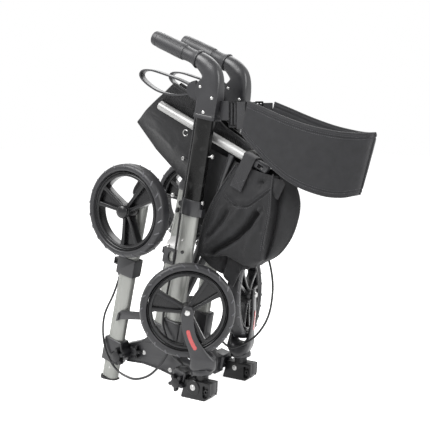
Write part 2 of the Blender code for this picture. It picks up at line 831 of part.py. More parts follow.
def caster_block():
    """The front block that stands on the floor when folded, with its pivot stud and stem boss."""
    back = FLIP_REF - FLIP_WAY * BLOCK_BACK
    back_low = on_line(back, FLIP_UP, 0.0)
    back_top = on_line(back, FLIP_UP, BLOCK_TOP)
    outline = [
        (back_low.x, back_low.z),
        (0.0370, 0.0),
        (0.0500, 0.0120),
        (0.0515, 0.0400),
        (0.0450, BLOCK_TOP - 0.0010),
        (back_top.x, back_top.z),
    ]
    low_y = -CASTER_Y - BLOCK_HALF_WIDTH
    block = slab(outline, low_y, -CASTER_Y + BLOCK_HALF_WIDTH)
    block = rounded(block, 0.0022, segments=1, angle=30)
    stem = Vector((STEM_X, -CASTER_Y, 0))
    boss = rod(stem + Vector((0, 0, 0.035)), stem + Vector((0, 0, BOSS_TOP)), 0.0140, sides=20)
    stud = rod(back + FLIP_WAY * 0.006, back - FLIP_WAY * STUD_LENGTH, STUD_RADIUS, sides=16)
    hole_low = BOSS_TOP - STEM_DEPTH - SLIDE_GAP
    hole = rod(
        stem + Vector((0, 0, hole_low)),
        stem + Vector((0, 0, BOSS_TOP + 0.01)),
        STEM_RADIUS + SLIDE_GAP,
        sides=16,
    )
    return cut(joined(block, boss, stud), hole)


# Caster fork and wheels

FORK_OUT = FORK_IN + FORK_PLATE
FRONT_AXLE = Vector((STEM_X - CASTER_TRAIL, -CASTER_Y, FRONT_AXLE_Z))


def turned_out(obj, swivel):
    """Swing a piece of the straight caster outwards about its stem."""
    stem = Vector((STEM_X, -CASTER_Y, 0))
    about = Matrix.Translation(stem) @ Matrix.Rotation(math.radians(swivel), 4, "Z")
    obj.data.transform(about @ Matrix.Translation(-stem))
    return obj


def caster_fork(swivel):
    """Crown, two arms and stem in one moulding."""
    low = BOSS_TOP + GAP
    crown_outline = [
        (STEM_X - 0.0160, low),
        (STEM_X + 0.0140, low),
        (STEM_X + 0.0195, low + 0.0100),
        (STEM_X + 0.0170, CROWN_TOP_Z),
        (STEM_X - 0.0200, CROWN_TOP_Z),
        (STEM_X - 0.0225, low + 0.0110),
    ]
    crown_half = FORK_OUT + 0.001
    crown = slab(crown_outline, -CASTER_Y - crown_half, -CASTER_Y + crown_half)
    crown = rounded(crown, 0.0045, segments=2, angle=30)
    axle = FRONT_AXLE
    tip = 0.0125
    arm_foot = CROWN_TOP_Z - 0.012
    arm_front = bezier(
        Vector((STEM_X + 0.0195, 0, arm_foot)),
        Vector((STEM_X + 0.0200, 0, CROWN_TOP_Z + 0.018)),
        Vector((axle.x + 0.0215, 0, axle.z - 0.050)),
        Vector((axle.x + tip, 0, axle.z)),
        5,
    )
    angles = [math.radians(angle) for angle in (45, 90, 135)]
    arm_tip = [
        axle + Vector((tip * math.cos(angle), 0, tip * math.sin(angle))) for angle in angles
    ]
    arm_back = bezier(
        Vector((axle.x - tip, 0, axle.z)),
        Vector((axle.x - 0.0100, 0, axle.z - 0.045)),
        Vector((STEM_X - 0.0270, 0, CROWN_TOP_Z + 0.026)),
        Vector((STEM_X - 0.0220, 0, arm_foot)),
        5,
    )
    outline = [(point.x, point.z) for point in (*arm_front, *arm_tip, *arm_back)]
    plates = []
    for face in (FORK_IN, -FORK_OUT):
        plate = slab(outline, -CASTER_Y + face, -CASTER_Y + face + FORK_PLATE)
        plate = rounded(plate, 0.0018, segments=1, angle=50)
        plates.append(plate)
    stem = Vector((STEM_X, -CASTER_Y, 0))
    stem_low = stem + Vector((0, 0, BOSS_TOP - STEM_DEPTH))
    post = rod(stem_low, stem + Vector((0, 0, low + 0.010)), STEM_RADIUS, sides=16)
    wide = Vector((0, FORK_OUT + 0.01, 0))
    hole = rod(axle - wide, axle + wide, AXLE_RADIUS + GAP, sides=16)

    # The crown's foot is round, so that the fork clears the arm when it swings under it
    around = [
        (CROWN_FOOT_RADIUS, BOSS_TOP - 0.010),
        (0.080, BOSS_TOP - 0.010),
        (0.080, CROWN_FOOT_Z),
        (CROWN_FOOT_RADIUS, CROWN_FOOT_Z),
    ]
    foot_cutter = turned(around, stem, Vector((0, 0, 1)), steps=24, ring=True)
    return turned_out(cut(joined(crown, *plates, post), hole, foot_cutter), swivel)


def fork_reflector(swivel):
    width, thick, height = REFLECTOR_SIZE
    y = -CASTER_Y - FORK_OUT - GAP - thick / 2
    centre = Vector((STEM_X - 0.0110, y, CROWN_TOP_Z + 0.045))
    lean = Vector((-0.30, 0, 1))
    return turned_out(oriented_box(centre, REFLECTOR_SIZE, lean), swivel)


def tyre(centre, width):
    """A solid tyre with rounded shoulders."""
    half = width / 2
    inner = WHEEL_RADIUS - TYRE_THICK
    right = [
        (inner, half * 0.80),
        (inner + TYRE_THICK * 0.40, half),
        (WHEEL_RADIUS - TYRE_THICK * 0.22, half * 0.82),
        (WHEEL_RADIUS - TYRE_THICK * 0.04, half * 0.42),
    ]
    middle = [(WHEEL_RADIUS, 0)]
    left = [(radius, -height) for radius, height in reversed(right)]
    return turned(right + middle + left, centre, Vector((0, 1, 0)), steps=24, ring=True)


def rim(centre):
    """Rim ring, bored hub and paired spokes."""
    outer = WHEEL_RADIUS - TYRE_THICK - GAP
    inner = outer - RIM_THICK
    half = RIM_WIDTH / 2
    axis = Vector((0, 1, 0))
    ring_profile = [
        (outer, half),
        (inner + 0.001, half),
        (inner, half * 0.3),
        (inner, -half * 0.3),
        (inner + 0.001, -half),
        (outer, -half),
    ]
    ring = turned(ring_profile, centre, axis, steps=24, ring=True)
    bore = AXLE_RADIUS + GAP
    hub_profile = [
        (bore, HUB_HALF_WIDTH),
        (bore, -HUB_HALF_WIDTH),
        (HUB_RADIUS * 0.8, -HUB_HALF_WIDTH),
        (HUB_RADIUS, -HUB_HALF_WIDTH * 0.6),
        (HUB_RADIUS, HUB_HALF_WIDTH * 0.6),
        (HUB_RADIUS * 0.8, HUB_HALF_WIDTH),
    ]
    hub = turned(hub_profile, centre, axis, steps=14, ring=True)
    spokes = []
    for pair in range(SPOKE_PAIRS):
        angle = 2 * math.pi * pair / SPOKE_PAIRS + math.radians(30)
        out = Vector((math.cos(angle), 0, math.sin(angle)))
        side = Vector((-out.z, 0, out.x))
        for way in (-1, 1):
            start = centre + out * (HUB_RADIUS * 0.55) + side * (way * 0.0045)
            end = centre + out * (inner + 0.004) + side * (way * SPOKE_SPREAD)
            size = (SPOKE_WIDTH, SPOKE_DEPTH, (end - start).length)
            spokes.append(oriented_box((start + end) / 2, size, end - start))
    return joined(ring, hub, *spokes)


def axle_pin(centre, profile):
    return turned(profile, centre, Vector((0, -1, 0)), steps=12)


def front_axle(swivel):
    """A bolt through both fork arms. Heights run outwards from the wheel's middle."""
    face = FORK_OUT + GAP
    profile = (
        (0, -face - AXLE_HEAD_LENGTH),
        (AXLE_HEAD_RADIUS * 0.8, -face - AXLE_HEAD_LENGTH),
        (AXLE_HEAD_RADIUS * 0.8, -face),
        (AXLE_RADIUS, -face),
        (AXLE_RADIUS, face),
        (AXLE_HEAD_RADIUS * 0.8, face),
        (AXLE_HEAD_RADIUS * 0.6, face + AXLE_HEAD_LENGTH),
        (0, face + AXLE_HEAD_LENGTH),
    )
    return turned_out(axle_pin(FRONT_AXLE, profile), swivel)


# Rear leg

LEG_REF = Vector((FOOT_X, -LEG_Y, 0))
ACROSS_LEG = along_slope(LEG_LEAN)
REAR_AXLE = on_line(LEG_REF, LEG_WAY, REAR_AXLE_Z)
REAR_WHEEL = Vector((REAR_AXLE.x, -REAR_WHEEL_Y, REAR_AXLE.z))
LEG_FIT = (LEG_WIDTH + 2 * GAP, LEG_DEPTH + 2 * GAP)
LEG_WALL = 0.002


def leg_bore(low_z, high_z):
    """Cutter for the hole that the leg passes through."""
    return rounded_bar(on_line(LEG_REF, LEG_WAY, low_z), on_line(LEG_REF, LEG_WAY, high_z), *LEG_FIT)


def rear_leg():
    low = on_line(LEG_REF, LEG_WAY, 0.0085)
    high = REAR_AXLE + LEG_WAY * LEG_PAST_AXLE
    tube = rounded_bar(low, high, LEG_WIDTH, LEG_DEPTH)
    inside = (LEG_WIDTH - 2 * LEG_WALL, LEG_DEPTH - 2 * LEG_WALL)
    bore = rounded_bar(low - LEG_WAY * 0.01, high + LEG_WAY * 0.01, *inside)
    wide = Vector((0, LEG_DEPTH, 0))
    hole = rod(REAR_AXLE - wide, REAR_AXLE + wide, AXLE_RADIUS + GAP, sides=16)
    return cut(tube, bore, hole)


def leg_foot():
    """The end cap that stands on the floor, cut level underneath."""
    outside = (LEG_FIT[0] + 2 * FOOT_WALL, LEG_FIT[1] + 2 * FOOT_WALL)
    low = on_line(LEG_REF, LEG_WAY, -0.015)
    high = on_line(LEG_REF, LEG_WAY, FOOT_HEIGHT)
    cap = rounded_bar(low, high, *outside)
    floor = box((FOOT_X - 0.06, -LEG_Y - 0.05, -0.05), (FOOT_X + 0.06, -LEG_Y + 0.05, 0.0))
    return cut(cap, leg_bore(0.0080, FOOT_HEIGHT + 0.02), floor)


def leg_socket():
    """The clamp that holds the leg and turns with it on the arm's rear pivot."""
    half_y = LEG_DEPTH / 2 + SOCKET_WALL
    low = on_line(LEG_REF, LEG_WAY, SOCKET_LOW_Z)
    high = on_line(LEG_REF, LEG_WAY, SOCKET_HIGH_Z)
    half = LEG_WIDTH / 2 + 0.0040
    pivot = side_point(LEG_PIVOT)
    lobe = []
    for degrees in (-95, -55, -15, 25, 65):
        angle = math.radians(degrees)
        lobe.append(pivot + Vector((math.cos(angle), 0, math.sin(angle))) * 0.0145)
    corners = [low - ACROSS_LEG * half, low + ACROSS_LEG * half]
    upper = [high + ACROSS_LEG * half, high - ACROSS_LEG * half]
    outline = [(point.x, point.z) for point in (*corners, *lobe, *upper)]
    clamp = slab(outline, -LEG_Y - half_y, -LEG_Y + half_y)
    clamp = rounded(clamp, 0.002, segments=1, angle=50)
    wide = Vector((0, 0.05, 0))
    hole = rod(
        pivot + Vector((0, -LEG_Y, 0)) - wide,
        pivot + Vector((0, -LEG_Y, 0)) + wide,
        KNOB_SHAFT_RADIUS + GAP,
        sides=16,
    )
    return cut(clamp, leg_bore(SOCKET_LOW_Z - 0.03, SOCKET_HIGH_Z + 0.03), hole)


FERRULE_AT = on_line(LEG_REF, LEG_WAY, BRAKE_LOW_Z) - ACROSS_LEG * (LEG_WIDTH / 2 + 0.0035)
FERRULE_LENGTH = 0.012


def brake_housing():
    """The brake's moulding round the leg, with the ferrule that the cable comes out of."""
    half_y = LEG_DEPTH / 2 + SOCKET_WALL
    low = on_line(LEG_REF, LEG_WAY, BRAKE_LOW_Z)
    high = on_line(LEG_REF, LEG_WAY, BRAKE_HIGH_Z)
    half = LEG_WIDTH / 2 + 0.0065
    corners = (
        low - ACROSS_LEG * half,
        low + ACROSS_LEG * half,
        high + ACROSS_LEG * half,
        high - ACROSS_LEG * half,
    )
    shell = slab([(point.x, point.z) for point in corners], -LEG_Y - half_y, -LEG_Y + half_y)
    shell = rounded(shell, 0.0025, segments=1, angle=50)
    ferrule = rod(
        FERRULE_AT + LEG_WAY * 0.006,
        FERRULE_AT - LEG_WAY * FERRULE_LENGTH,
        CABLE_RADIUS + 0.0007,
        sides=12,
    )
    shell = cut(shell, leg_bore(BRAKE_LOW_Z - 0.03, BRAKE_HIGH_Z + 0.03))
    return joined(shell, ferrule)


def rear_axle():
    """A bolt through the leg with a spacer and the hub's outer cap. Heights run outwards."""
    inner = REAR_WHEEL_Y - LEG_Y + LEG_DEPTH / 2 + GAP
    leg_face = REAR_WHEEL_Y - LEG_Y - LEG_DEPTH / 2 - GAP
    hub_face = HUB_HALF_WIDTH + GAP
    profile = (
        (0, -inner - AXLE_HEAD_LENGTH * 0.8),
        (AXLE_HEAD_RADIUS * 0.7, -inner - AXLE_HEAD_LENGTH * 0.8),
        (AXLE_HEAD_RADIUS * 0.8, -inner),
        (AXLE_RADIUS, -inner),
        (AXLE_RADIUS, -leg_face),
        (AXLE_HEAD_RADIUS, -leg_face),
        (AXLE_HEAD_RADIUS, -hub_face),
        (AXLE_RADIUS, -hub_face),
        (AXLE_RADIUS, hub_face),
        (AXLE_HEAD_RADIUS * 1.2, hub_face),
        (AXLE_HEAD_RADIUS * 1.1, hub_face + 0.0060),
        (AXLE_HEAD_RADIUS * 0.7, hub_face + 0.0080),
        (0, hub_face + 0.0085),
    )
    return axle_pin(REAR_WHEEL, profile)


# Soft pieces

SEAT_OUTLINE = (
    (-0.2120, 0.5800),
    (-0.1560, 0.5170),
    (-0.0870, 0.4560),
    (-0.0300, 0.4080),
    (-0.0060, 0.4120),
    (0.0250, 0.4720),
    (0.0390, 0.5170),
    (0.0880, 0.5180),
    (0.0740, 0.5400),
    (0.0150, 0.5750),
    (-0.0350, 0.6300),
    (-0.0960, 0.6640),
    (-0.1360, 0.6350),
)
FOLD_WAYS = ((0.0013, 17.0, 0.4), (0.0008, 31.0, 1.3))


def sliced(obj, way, spacing):
    """Add loops of edges across the piece at an even spacing along way."""
    bm = bmesh.new()
    bm.from_mesh(obj.data)
    reach = [vert.co.dot(way) for vert in bm.verts]
    place = min(reach) + spacing / 2
    while place < max(reach):
        geometry = bm.verts[:] + bm.edges[:] + bm.faces[:]
        bmesh.ops.bisect_plane(bm, geom=geometry, dist=1e-6, plane_co=way * place, plane_no=way)
        place += spacing
    bm.to_mesh(obj.data)
    bm.free()
    return obj


def seat_half():
    """One half of the folded sling: it hangs inside its rail and swells into slack folds."""
    low = -SEAT_CLOTH_Y - SEAT_CLOTH / 2
    panel = slab(SEAT_OUTLINE, low, low + SEAT_CLOTH)
    panel = sliced(sliced(panel, RAIL_WAY, 0.020), SEAT_UP, 0.030)
    for vert in panel.data.vertices:
        fold = 0.0
        for height, turns, phase in FOLD_WAYS:
            run = vert.co.dot(RAIL_WAY) + 0.5 * vert.co.dot(SEAT_UP)
            fold += height * math.sin(2 * math.pi * turns * run / 2 + phase)
        vert.co.y += fold
    return panel


BAND_HINGE = side_point((HEIGHT_TOP[0] + 0.0470, HEIGHT_TOP[1] + 0.0120), -0.0490)
BAND_STATIONS = (
    # forward of the height tube's top, out from the middle plane, upper and lower edge above that top
    (0.0328, 0.0500, 0.0305, -0.0020),
    (0.0450, 0.0500, 0.0315, -0.0030),
    (0.0510, 0.0500, 0.0380, -0.0080),
    (0.0870, 0.0540, 0.0340, -0.0260),
    (0.1270, 0.0560, 0.0180, -0.0610),
    (0.1770, 0.0560, -0.0020, -0.1030),
    (0.2270, 0.0530, -0.0180, -0.1320),
    (0.2770, 0.0440, -0.0280, -0.1480),
    (0.3090, 0.0310, -0.0310, -0.1510),
    (0.3270, 0.0160, -0.0305, -0.1480),
    (0.3330, 0.0012, -0.0300, -0.1460),
)


def band_half():
    """Half of the backrest band: a strap from the handle head, then the pad to the middle plane."""
    rows = 3
    bm = bmesh.new()
    grid = []
    for forward, out, over, under in BAND_STATIONS:
        x = HEIGHT_TOP[0] + forward
        upper = HEIGHT_TOP[1] + over
        lower = HEIGHT_TOP[1] + under
        row = []
        for index in range(rows + 1):
            share = index / rows
            z = upper + (lower - upper) * share
            lean = math.tan(math.radians(BAND_LEAN)) * (z - (upper + lower) / 2)
            row.append(bm.verts.new((x + lean, -out, z)))
        grid.append(row)
    for first, second in zip(grid, grid[1:]):
        for index in range(rows):
            bm.faces.new((first[index], first[index + 1], second[index + 1], second[index]))
    obj = add_mesh(bm)
    smooth = obj.modifiers.new("smooth", "SUBSURF")
    smooth.levels = 1
    smooth.render_levels = 1
    thick = obj.modifiers.new("cloth", "SOLIDIFY")
    thick.thickness = BAND_CLOTH
    thick.offset = 0
    obj = baked(obj)
    middle = box((-1, -1, 0), (1, -GAP, 1))
    return combine(obj, [middle], "INTERSECT")


BAG_OUTLINE = (
    (0.0880, 0.4790),
    (0.0440, 0.3900),
    (0.0060, 0.3150),
    (0.0140, 0.2980),
    (0.0650, 0.2890),
    (0.1250, 0.2950),
    (0.1750, 0.3250),
    (0.2000, 0.3750),
    (0.2050, 0.4150),
    (0.1950, 0.4450),
    (0.1500, 0.4480),
)


WEBBING_ALONG = 0.154
WEBBING_WIDTH = 0.020
WEBBING_THICK = 0.0022
WEBBING_DROP = 0.045


def webbing_loop(y):
    """A loop round the rail's end fitting and the strap that drops from it into the bag."""
    middle = side_point(RAIL_POINT, y) + RAIL_WAY * WEBBING_ALONG
    inner = (RAIL_END_WIDTH + 2 * GAP, RAIL_END_DEPTH + 2 * GAP)
    outer = [size + 2 * WEBBING_THICK for size in inner]
    loop = oriented_box(middle, (*outer, WEBBING_WIDTH), RAIL_WAY)
    hole = oriented_box(middle, (*inner, 2 * WEBBING_WIDTH), RAIL_WAY)
    top = middle - SEAT_UP * (inner[0] / 2 + WEBBING_THICK / 2)
    end = middle - SEAT_UP * WEBBING_DROP
    strap_size = (WEBBING_THICK, WEBBING_WIDTH, (top - end).length)
    strap = oriented_box((top + end) / 2, strap_size, SEAT_UP, RAIL_WAY)
    return joined(cut(loop, hole), strap)


def bag():
    """The cloth bag under the rails, as its plain outer shape, with its two webbing loops."""
    shape = slab(BAG_OUTLINE, -BAG_HALF_WIDTH, BAG_HALF_WIDTH)
    shape = rounded(shape, 0.013, segments=2, angle=60)
    return joined(shape, webbing_loop(-RAIL_Y), webbing_loop(RAIL_Y))


FERRULE_LOW = FERRULE_AT - LEG_WAY * (FERRULE_LENGTH + GAP)
CABLE_START = side_point(HEIGHT_TOP, -POST_Y) - ACROSS_POST * (HEIGHT_WIDTH / 2 + 0.0050)
CABLE_RIGHT = (
    CABLE_START,
    CABLE_START - POST_WAY * 0.060,
    (-0.0370, -0.0530, 0.4650),
    (-0.0540, -0.0530, 0.3800),
    (-0.0700, -0.0530, 0.2900),
    (-0.0900, -0.0560, 0.2000),
    (-0.0860, -0.0740, 0.1450),
    (-0.0640, -0.0840, 0.1000),
    (-0.0760, -0.0900, 0.0660),
    (-0.1050, -0.0960, 0.0335),
    (-0.1390, -0.1000, 0.0185),
    (-0.1660, -0.1030, 0.0205),
    (-0.1960, -0.1040, 0.0330),
    (-0.2210, -0.1040, 0.0640),
    (-0.2370, -0.1020, 0.1050),
    (-0.2390, -0.0970, 0.1500),
    (-0.2210, -0.0880, 0.1950),
    FERRULE_LOW - LEG_WAY * 0.010,
    FERRULE_LOW,
)
CABLE_LEFT = (
    CABLE_START,
    CABLE_START - POST_WAY * 0.030,
    (-0.0260, -0.0680, 0.5200),
    (0.0100, -0.0820, 0.4500),
    (0.0500, -0.0740, 0.3750),
    (0.0860, -0.0620, 0.3150),
    (0.1060, -0.0580, 0.2650),
    (0.1120, -0.0560, 0.2150),
    (0.1010, -0.0540, 0.1560),
    (0.0680, -0.0500, 0.1080),
    (0.0190, -0.0440, 0.0800),
    (-0.0200, -0.0580, 0.0860),
    (-0.0460, -0.0780, 0.0900),
    (-0.0700, -0.0860, 0.0680),
    (-0.1050, -0.0960, 0.0335),
    (-0.1390, -0.1000, 0.0185),
    (-0.1660, -0.1030, 0.0205),
    (-0.1960, -0.1040, 0.0330),
    (-0.2210, -0.1040, 0.0640),
    (-0.2370, -0.1020, 0.1050),
    (-0.2390, -0.0970, 0.1500),
    (-0.2210, -0.0880, 0.1950),
    FERRULE_LOW - LEG_WAY * 0.010,
    FERRULE_LOW,
)


def brake_cable(side):
    points = CABLE_RIGHT if side == "right" else CABLE_LEFT
    route, length = smooth_route(points, CABLE_RADIUS * 6)
    print(f"{side} brake cable: {length:.3f} m")
    return wire(route, CABLE_RADIUS, resolution=1)


# Assembly: the joints are nested empties, and each piece is a child of the joint that moves it

joints = {}


def add_joint(name, place, parent=None):
    empty = bpy.data.objects.new(f"{name}_joint", None)
    empty.empty_display_size = 0.02
    collection.objects.link(empty)
    empty.location = place
    joints[name] = empty
    if parent:
        keep_place(empty, joints[parent])


def keep_place(obj, parent):
    """Make obj a child of parent where it stands."""
    bpy.context.view_layer.update()
    obj.parent = parent
    obj.matrix_parent_inverse = parent.matrix_world.inverted()


def hang(name, joint):
    keep_place(nodes[name], joints[joint])


def sided(vector, side):
    return Vector((vector[0], vector[1] if side == "right" else -vector[1], vector[2]))


def front_wheel_place(side):
    """The middle of the front wheel once the caster is turned out by its swivel angle."""
    angle = math.radians(RIGHT_SWIVEL if side == "right" else LEFT_SWIVEL)
    back = -CASTER_TRAIL * math.cos(angle)
    out = -CASTER_TRAIL * math.sin(angle)
    return Vector((STEM_X + back, -CASTER_Y + out, FRONT_AXLE_Z))


def add_side_joints(side):
    frame = f"{side}_frame"
    places = (
        ("height", POST_REF, frame),
        ("lever", side_point(LEVER_PIVOT, -POST_Y), f"{side}_height"),
        ("band", BAND_HINGE, f"{side}_height"),
        ("button", on_line(POST_REF, POST_WAY, BUTTON_Z), frame),
        ("front_knob", side_point(FRONT_KNOB, -CASTER_Y), frame),
        ("leg", side_point(LEG_PIVOT, -LEG_Y), frame),
        ("rear_knob", side_point(LEG_PIVOT, -LEG_Y), f"{side}_leg"),
        ("rear_wheel", REAR_WHEEL, f"{side}_leg"),
        ("flip", FLIP_REF, frame),
        ("swivel", Vector((STEM_X, -CASTER_Y, BOSS_TOP)), f"{side}_flip"),
        ("front_wheel", front_wheel_place(side), f"{side}_swivel"),
    )
    for name, place, parent in places:
        add_joint(f"{side}_{name}", sided(place, side), parent)


def add_joints():
    """The right side carries the cross braces, which carry the rails and the left side."""
    right_foot = BRACE_FOOT + Vector((0, -RAIL_Y, 0))
    left_foot = BRACE_FOOT + Vector((0, RAIL_Y, 0))
    add_joint("right_frame", right_foot)
    add_joint("brace_a", right_foot, "right_frame")
    add_joint("brace_b", BRACE_MIDDLE, "brace_a")
    add_joint("left_frame", left_foot, "brace_b")
    for side in ("right", "left"):
        add_side_joints(side)


def build_side(side):
    swivel = RIGHT_SWIVEL if side == "right" else LEFT_SWIVEL
    rail_joint = "brace_b" if side == "right" else "brace_a"
    pieces = (
        ("post_tube", "champagne", post_tube, "frame"),
        ("lock_button", "satin_black", lock_button, "button"),
        ("height_tube", "tube_black", height_tube, "height"),
        ("post_collar", "satin_black", post_collar, "height"),
        ("handle_head", "satin_black", handle_head, "height"),
        ("grip", "rubber", grip, "height"),
        ("brake_lever", "satin_black", brake_lever, "lever"),
        ("lower_arm", "satin_black", lambda: lower_arm(side), "frame"),
        ("rear_knob", "satin_black", rear_knob, "rear_knob"),
        ("front_knob", "satin_black", front_knob, "front_knob"),
        ("caster_block", "satin_black", caster_block, "flip"),
        ("caster_fork", "satin_black", lambda: caster_fork(swivel), "swivel"),
        ("fork_reflector", "red", lambda: fork_reflector(swivel), "swivel"),
        ("front_tyre", "rubber", lambda: turned_out(tyre(FRONT_AXLE, TYRE_WIDTH), swivel), "front_wheel"),
        ("front_rim", "satin_black", lambda: turned_out(rim(FRONT_AXLE), swivel), "front_wheel"),
        ("front_axle", "steel", lambda: front_axle(swivel), "swivel"),
        ("rear_leg", "champagne", rear_leg, "leg"),
        ("leg_foot", "satin_black", leg_foot, "leg"),
        ("leg_socket", "satin_black", leg_socket, "leg"),
        ("brake_housing", "satin_black", brake_housing, "leg"),
        ("rear_axle", "satin_black", rear_axle, "leg"),
        ("rear_tyre", "rubber", lambda: tyre(REAR_WHEEL, REAR_TYRE_WIDTH), "rear_wheel"),
        ("rear_rim", "satin_black", lambda: rim(REAR_WHEEL), "rear_wheel"),
        ("backrest_half", "cloth", band_half, "band"),
        ("brake_cable", "rubber", lambda: brake_cable(side), "frame"),
    )
    for name, finish, build, joint in pieces:
        on_side(build, side, name, finish)
        hang(f"{side}_{name}", f"{side}_{joint}")
    rail_pieces = (
        ("seat_rail", "aluminium", seat_rail),
        ("rail_end", "satin_black", rail_end),
        ("seat_half", "cloth", seat_half),
    )
    for name, finish, build in rail_pieces:
        on_side(build, side, name, finish)
        hang(f"{side}_{name}", rail_joint)


def centre_on_origin():
    """Move the whole object so that the middle of its box, cables apart, is over the origin."""
    bpy.context.view_layer.update()
    corners = []
    for name, obj in nodes.items():
        if not name.endswith("cable"):
            corners.extend(obj.matrix_world @ vert.co for vert in obj.data.vertices)
    middle_x = (min(point.x for point in corners) + max(point.x for point in corners)) / 2
    middle_y = (min(point.y for point in corners) + max(point.y for point in corners)) / 2
    lowest = min(point.z for point in corners)
    shift = Vector((-middle_x, -middle_y, -lowest))
    joints["right_frame"].location += shift
    bpy.context.view_layer.update()
    return shift


for old in list(bpy.data.objects):
    bpy.data.objects.remove(old)
collection = bpy.data.collections.new(COLLECTION)
bpy.context.scene.collection.children.link(collection)

add_joints()
build_side("right")
build_side("left")
finish_node(cross_brace("right"), "right_cross_brace", "satin_black")
hang("right_cross_brace", "brace_a")
finish_node(cross_brace("left"), "left_cross_brace", "satin_black")
hang("left_cross_brace", "brace_b")
finish_node(brace_pin(), "brace_pin", "steel")
hang("brace_pin", "brace_a")
finish_node(bag(), "bag", "cloth")
hang("bag", "brace_b")


def show(name, place):
    print(f"{name}: {place.x:.6f} {place.y:.6f} {place.z:.6f}")


# Places and axes of the joints
show("moved by", centre_on_origin())
for joint_name, joint_empty in sorted(joints.items()):
    show(joint_name, joint_empty.matrix_world.translation)
for axis_name, axis in (
    ("rail way", RAIL_WAY),
    ("post way", POST_WAY),
    ("flip way", FLIP_WAY),
    ("band way", BAND_WAY),
):
    show(axis_name, axis)
print(len(nodes), "nodes")
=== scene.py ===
# %% [markdown]
# Folding rollator, standing folded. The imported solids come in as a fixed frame, in metres, with +Z up, +X
# the way it rolls forward and -Y its right-hand side. They could be coloured and rendered as they are, but a
# real one has cloth, stitches and screws that solids don't show. This script gives the solids materials,
# adds the small fittings and replaces the plain soft solids with cloth.

# %% Load the frame
from math import atan2, copysign, cos, exp, pi, radians, sin, tan

import bmesh
import bpy
import numpy as np
from mathutils import Matrix, Vector, noise


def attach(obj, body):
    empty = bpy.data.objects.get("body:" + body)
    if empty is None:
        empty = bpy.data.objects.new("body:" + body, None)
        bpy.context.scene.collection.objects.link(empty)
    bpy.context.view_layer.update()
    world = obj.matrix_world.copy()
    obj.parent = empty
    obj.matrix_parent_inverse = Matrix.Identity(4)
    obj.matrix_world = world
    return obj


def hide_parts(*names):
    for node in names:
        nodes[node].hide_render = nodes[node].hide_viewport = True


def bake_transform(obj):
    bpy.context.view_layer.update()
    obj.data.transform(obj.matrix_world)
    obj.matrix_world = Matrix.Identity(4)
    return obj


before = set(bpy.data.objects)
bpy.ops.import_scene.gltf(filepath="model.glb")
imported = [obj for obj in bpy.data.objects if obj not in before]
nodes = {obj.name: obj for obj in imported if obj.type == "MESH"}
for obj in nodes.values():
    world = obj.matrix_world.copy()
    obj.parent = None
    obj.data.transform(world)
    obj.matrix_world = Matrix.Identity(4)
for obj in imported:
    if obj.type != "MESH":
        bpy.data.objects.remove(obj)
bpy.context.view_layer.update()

# %% [markdown]
# Places that more than one step uses. The side plane is X-Z, and pieces are drawn for the right-hand side,
# so that both sides come from one set of numbers. Directions are unit vectors along the leaning tubes,
# because a place on a leaning tube is easier to give by its distance along it than by two coordinates.

# %% Shared places and directions
ORIGIN = Vector((-0.053503, -0.021966, 0.0))
SIDES = {"right": 1, "left": -1}
BRACES = {"right": "brace_b", "left": "brace_a"}
X_WAY, Y_WAY, Z_WAY = (Vector(row) for row in Matrix.Identity(3))


def leaning(degrees):
    return Vector((sin(radians(degrees)), 0, cos(radians(degrees))))


def sloping(degrees):
    return Vector((cos(radians(degrees)), 0, -sin(radians(degrees))))


RAIL_WAY, SEAT_UP = sloping(26.2), leaning(26.2)
POST_WAY, ACROSS_POST = leaning(10.7), sloping(10.7)
LEG_WAY, ACROSS_LEG = leaning(13.1), sloping(13.1)
GRIP_WAY = -sloping(23.9)
POST_Y, RAIL_Y, LEG_Y, CASTER_Y = 0.053, 0.027, 0.0838, 0.078
SWIVEL = {"right": 35.0, "left": 75.0}
STEM = Vector((0.0187, -CASTER_Y, 0))


def place(x, z, side="right", y=0.0):
    """A point of the side plane at distance y out from the middle plane."""
    return ORIGIN + Vector((x, -y * SIDES[side], z))


def facing(origin, z_way, hint=Y_WAY):
    """Matrix whose local Z is z_way and whose local Y is as near to hint as it can be."""
    z = Vector(z_way).normalized()
    x = Vector(hint).cross(z).normalized()
    matrix = Matrix((x, z.cross(x), z)).transposed().to_4x4()
    matrix.translation = Vector(origin)
    return matrix


def to_scene(obj):
    bpy.context.scene.collection.objects.link(obj)
    return obj


print("sides", *SIDES, "with casters turned by", *SWIVEL.values(), "degrees")

# %% [markdown]
# The camera stands where the photographer's did: at the walker's right front, a little above its middle. Its
# azimuth and elevation are read from how the tubes lean in the picture, and its distance from how much
# larger the near side is than the far one.

# %% Camera
AIM = ORIGIN + Vector((0, 0, 0.38))
AZIMUTH, ELEVATION, DISTANCE = 33.5, 6.55, 1.745
SENSOR, PICTURE_WIDTH, FOCAL_PIXELS = 36, 430, 811


def toward(azimuth, elevation):
    """The direction from the object to a place at this azimuth and elevation."""
    a, e = radians(azimuth), radians(elevation)
    return Vector((sin(a) * cos(e), -cos(a) * cos(e), sin(e)))


def aimed(name, data, azimuth, elevation, distance):
    """A camera or lamp that stands off at this azimuth and elevation and looks at the object."""
    way = toward(azimuth, elevation)
    obj = to_scene(bpy.data.objects.new(name, data))
    obj.location = AIM + way * distance
    obj.rotation_euler = (-way).to_track_quat("-Z", "Y").to_euler()
    return obj


camera = aimed("camera", bpy.data.cameras.new("camera"), AZIMUTH, ELEVATION, DISTANCE)
camera.data.sensor_width = SENSOR
camera.data.lens = SENSOR * FOCAL_PIXELS / PICTURE_WIDTH
bpy.context.scene.camera = camera
bpy.context.scene.view_settings.view_transform = "Standard"
print("camera at", [round(value, 3) for value in camera.location])

# %% [markdown]
# Nodes are added by a few short functions, so that a material reads as what it does. One function makes a
# node of any kind, and the others name the steps that every finish needs.


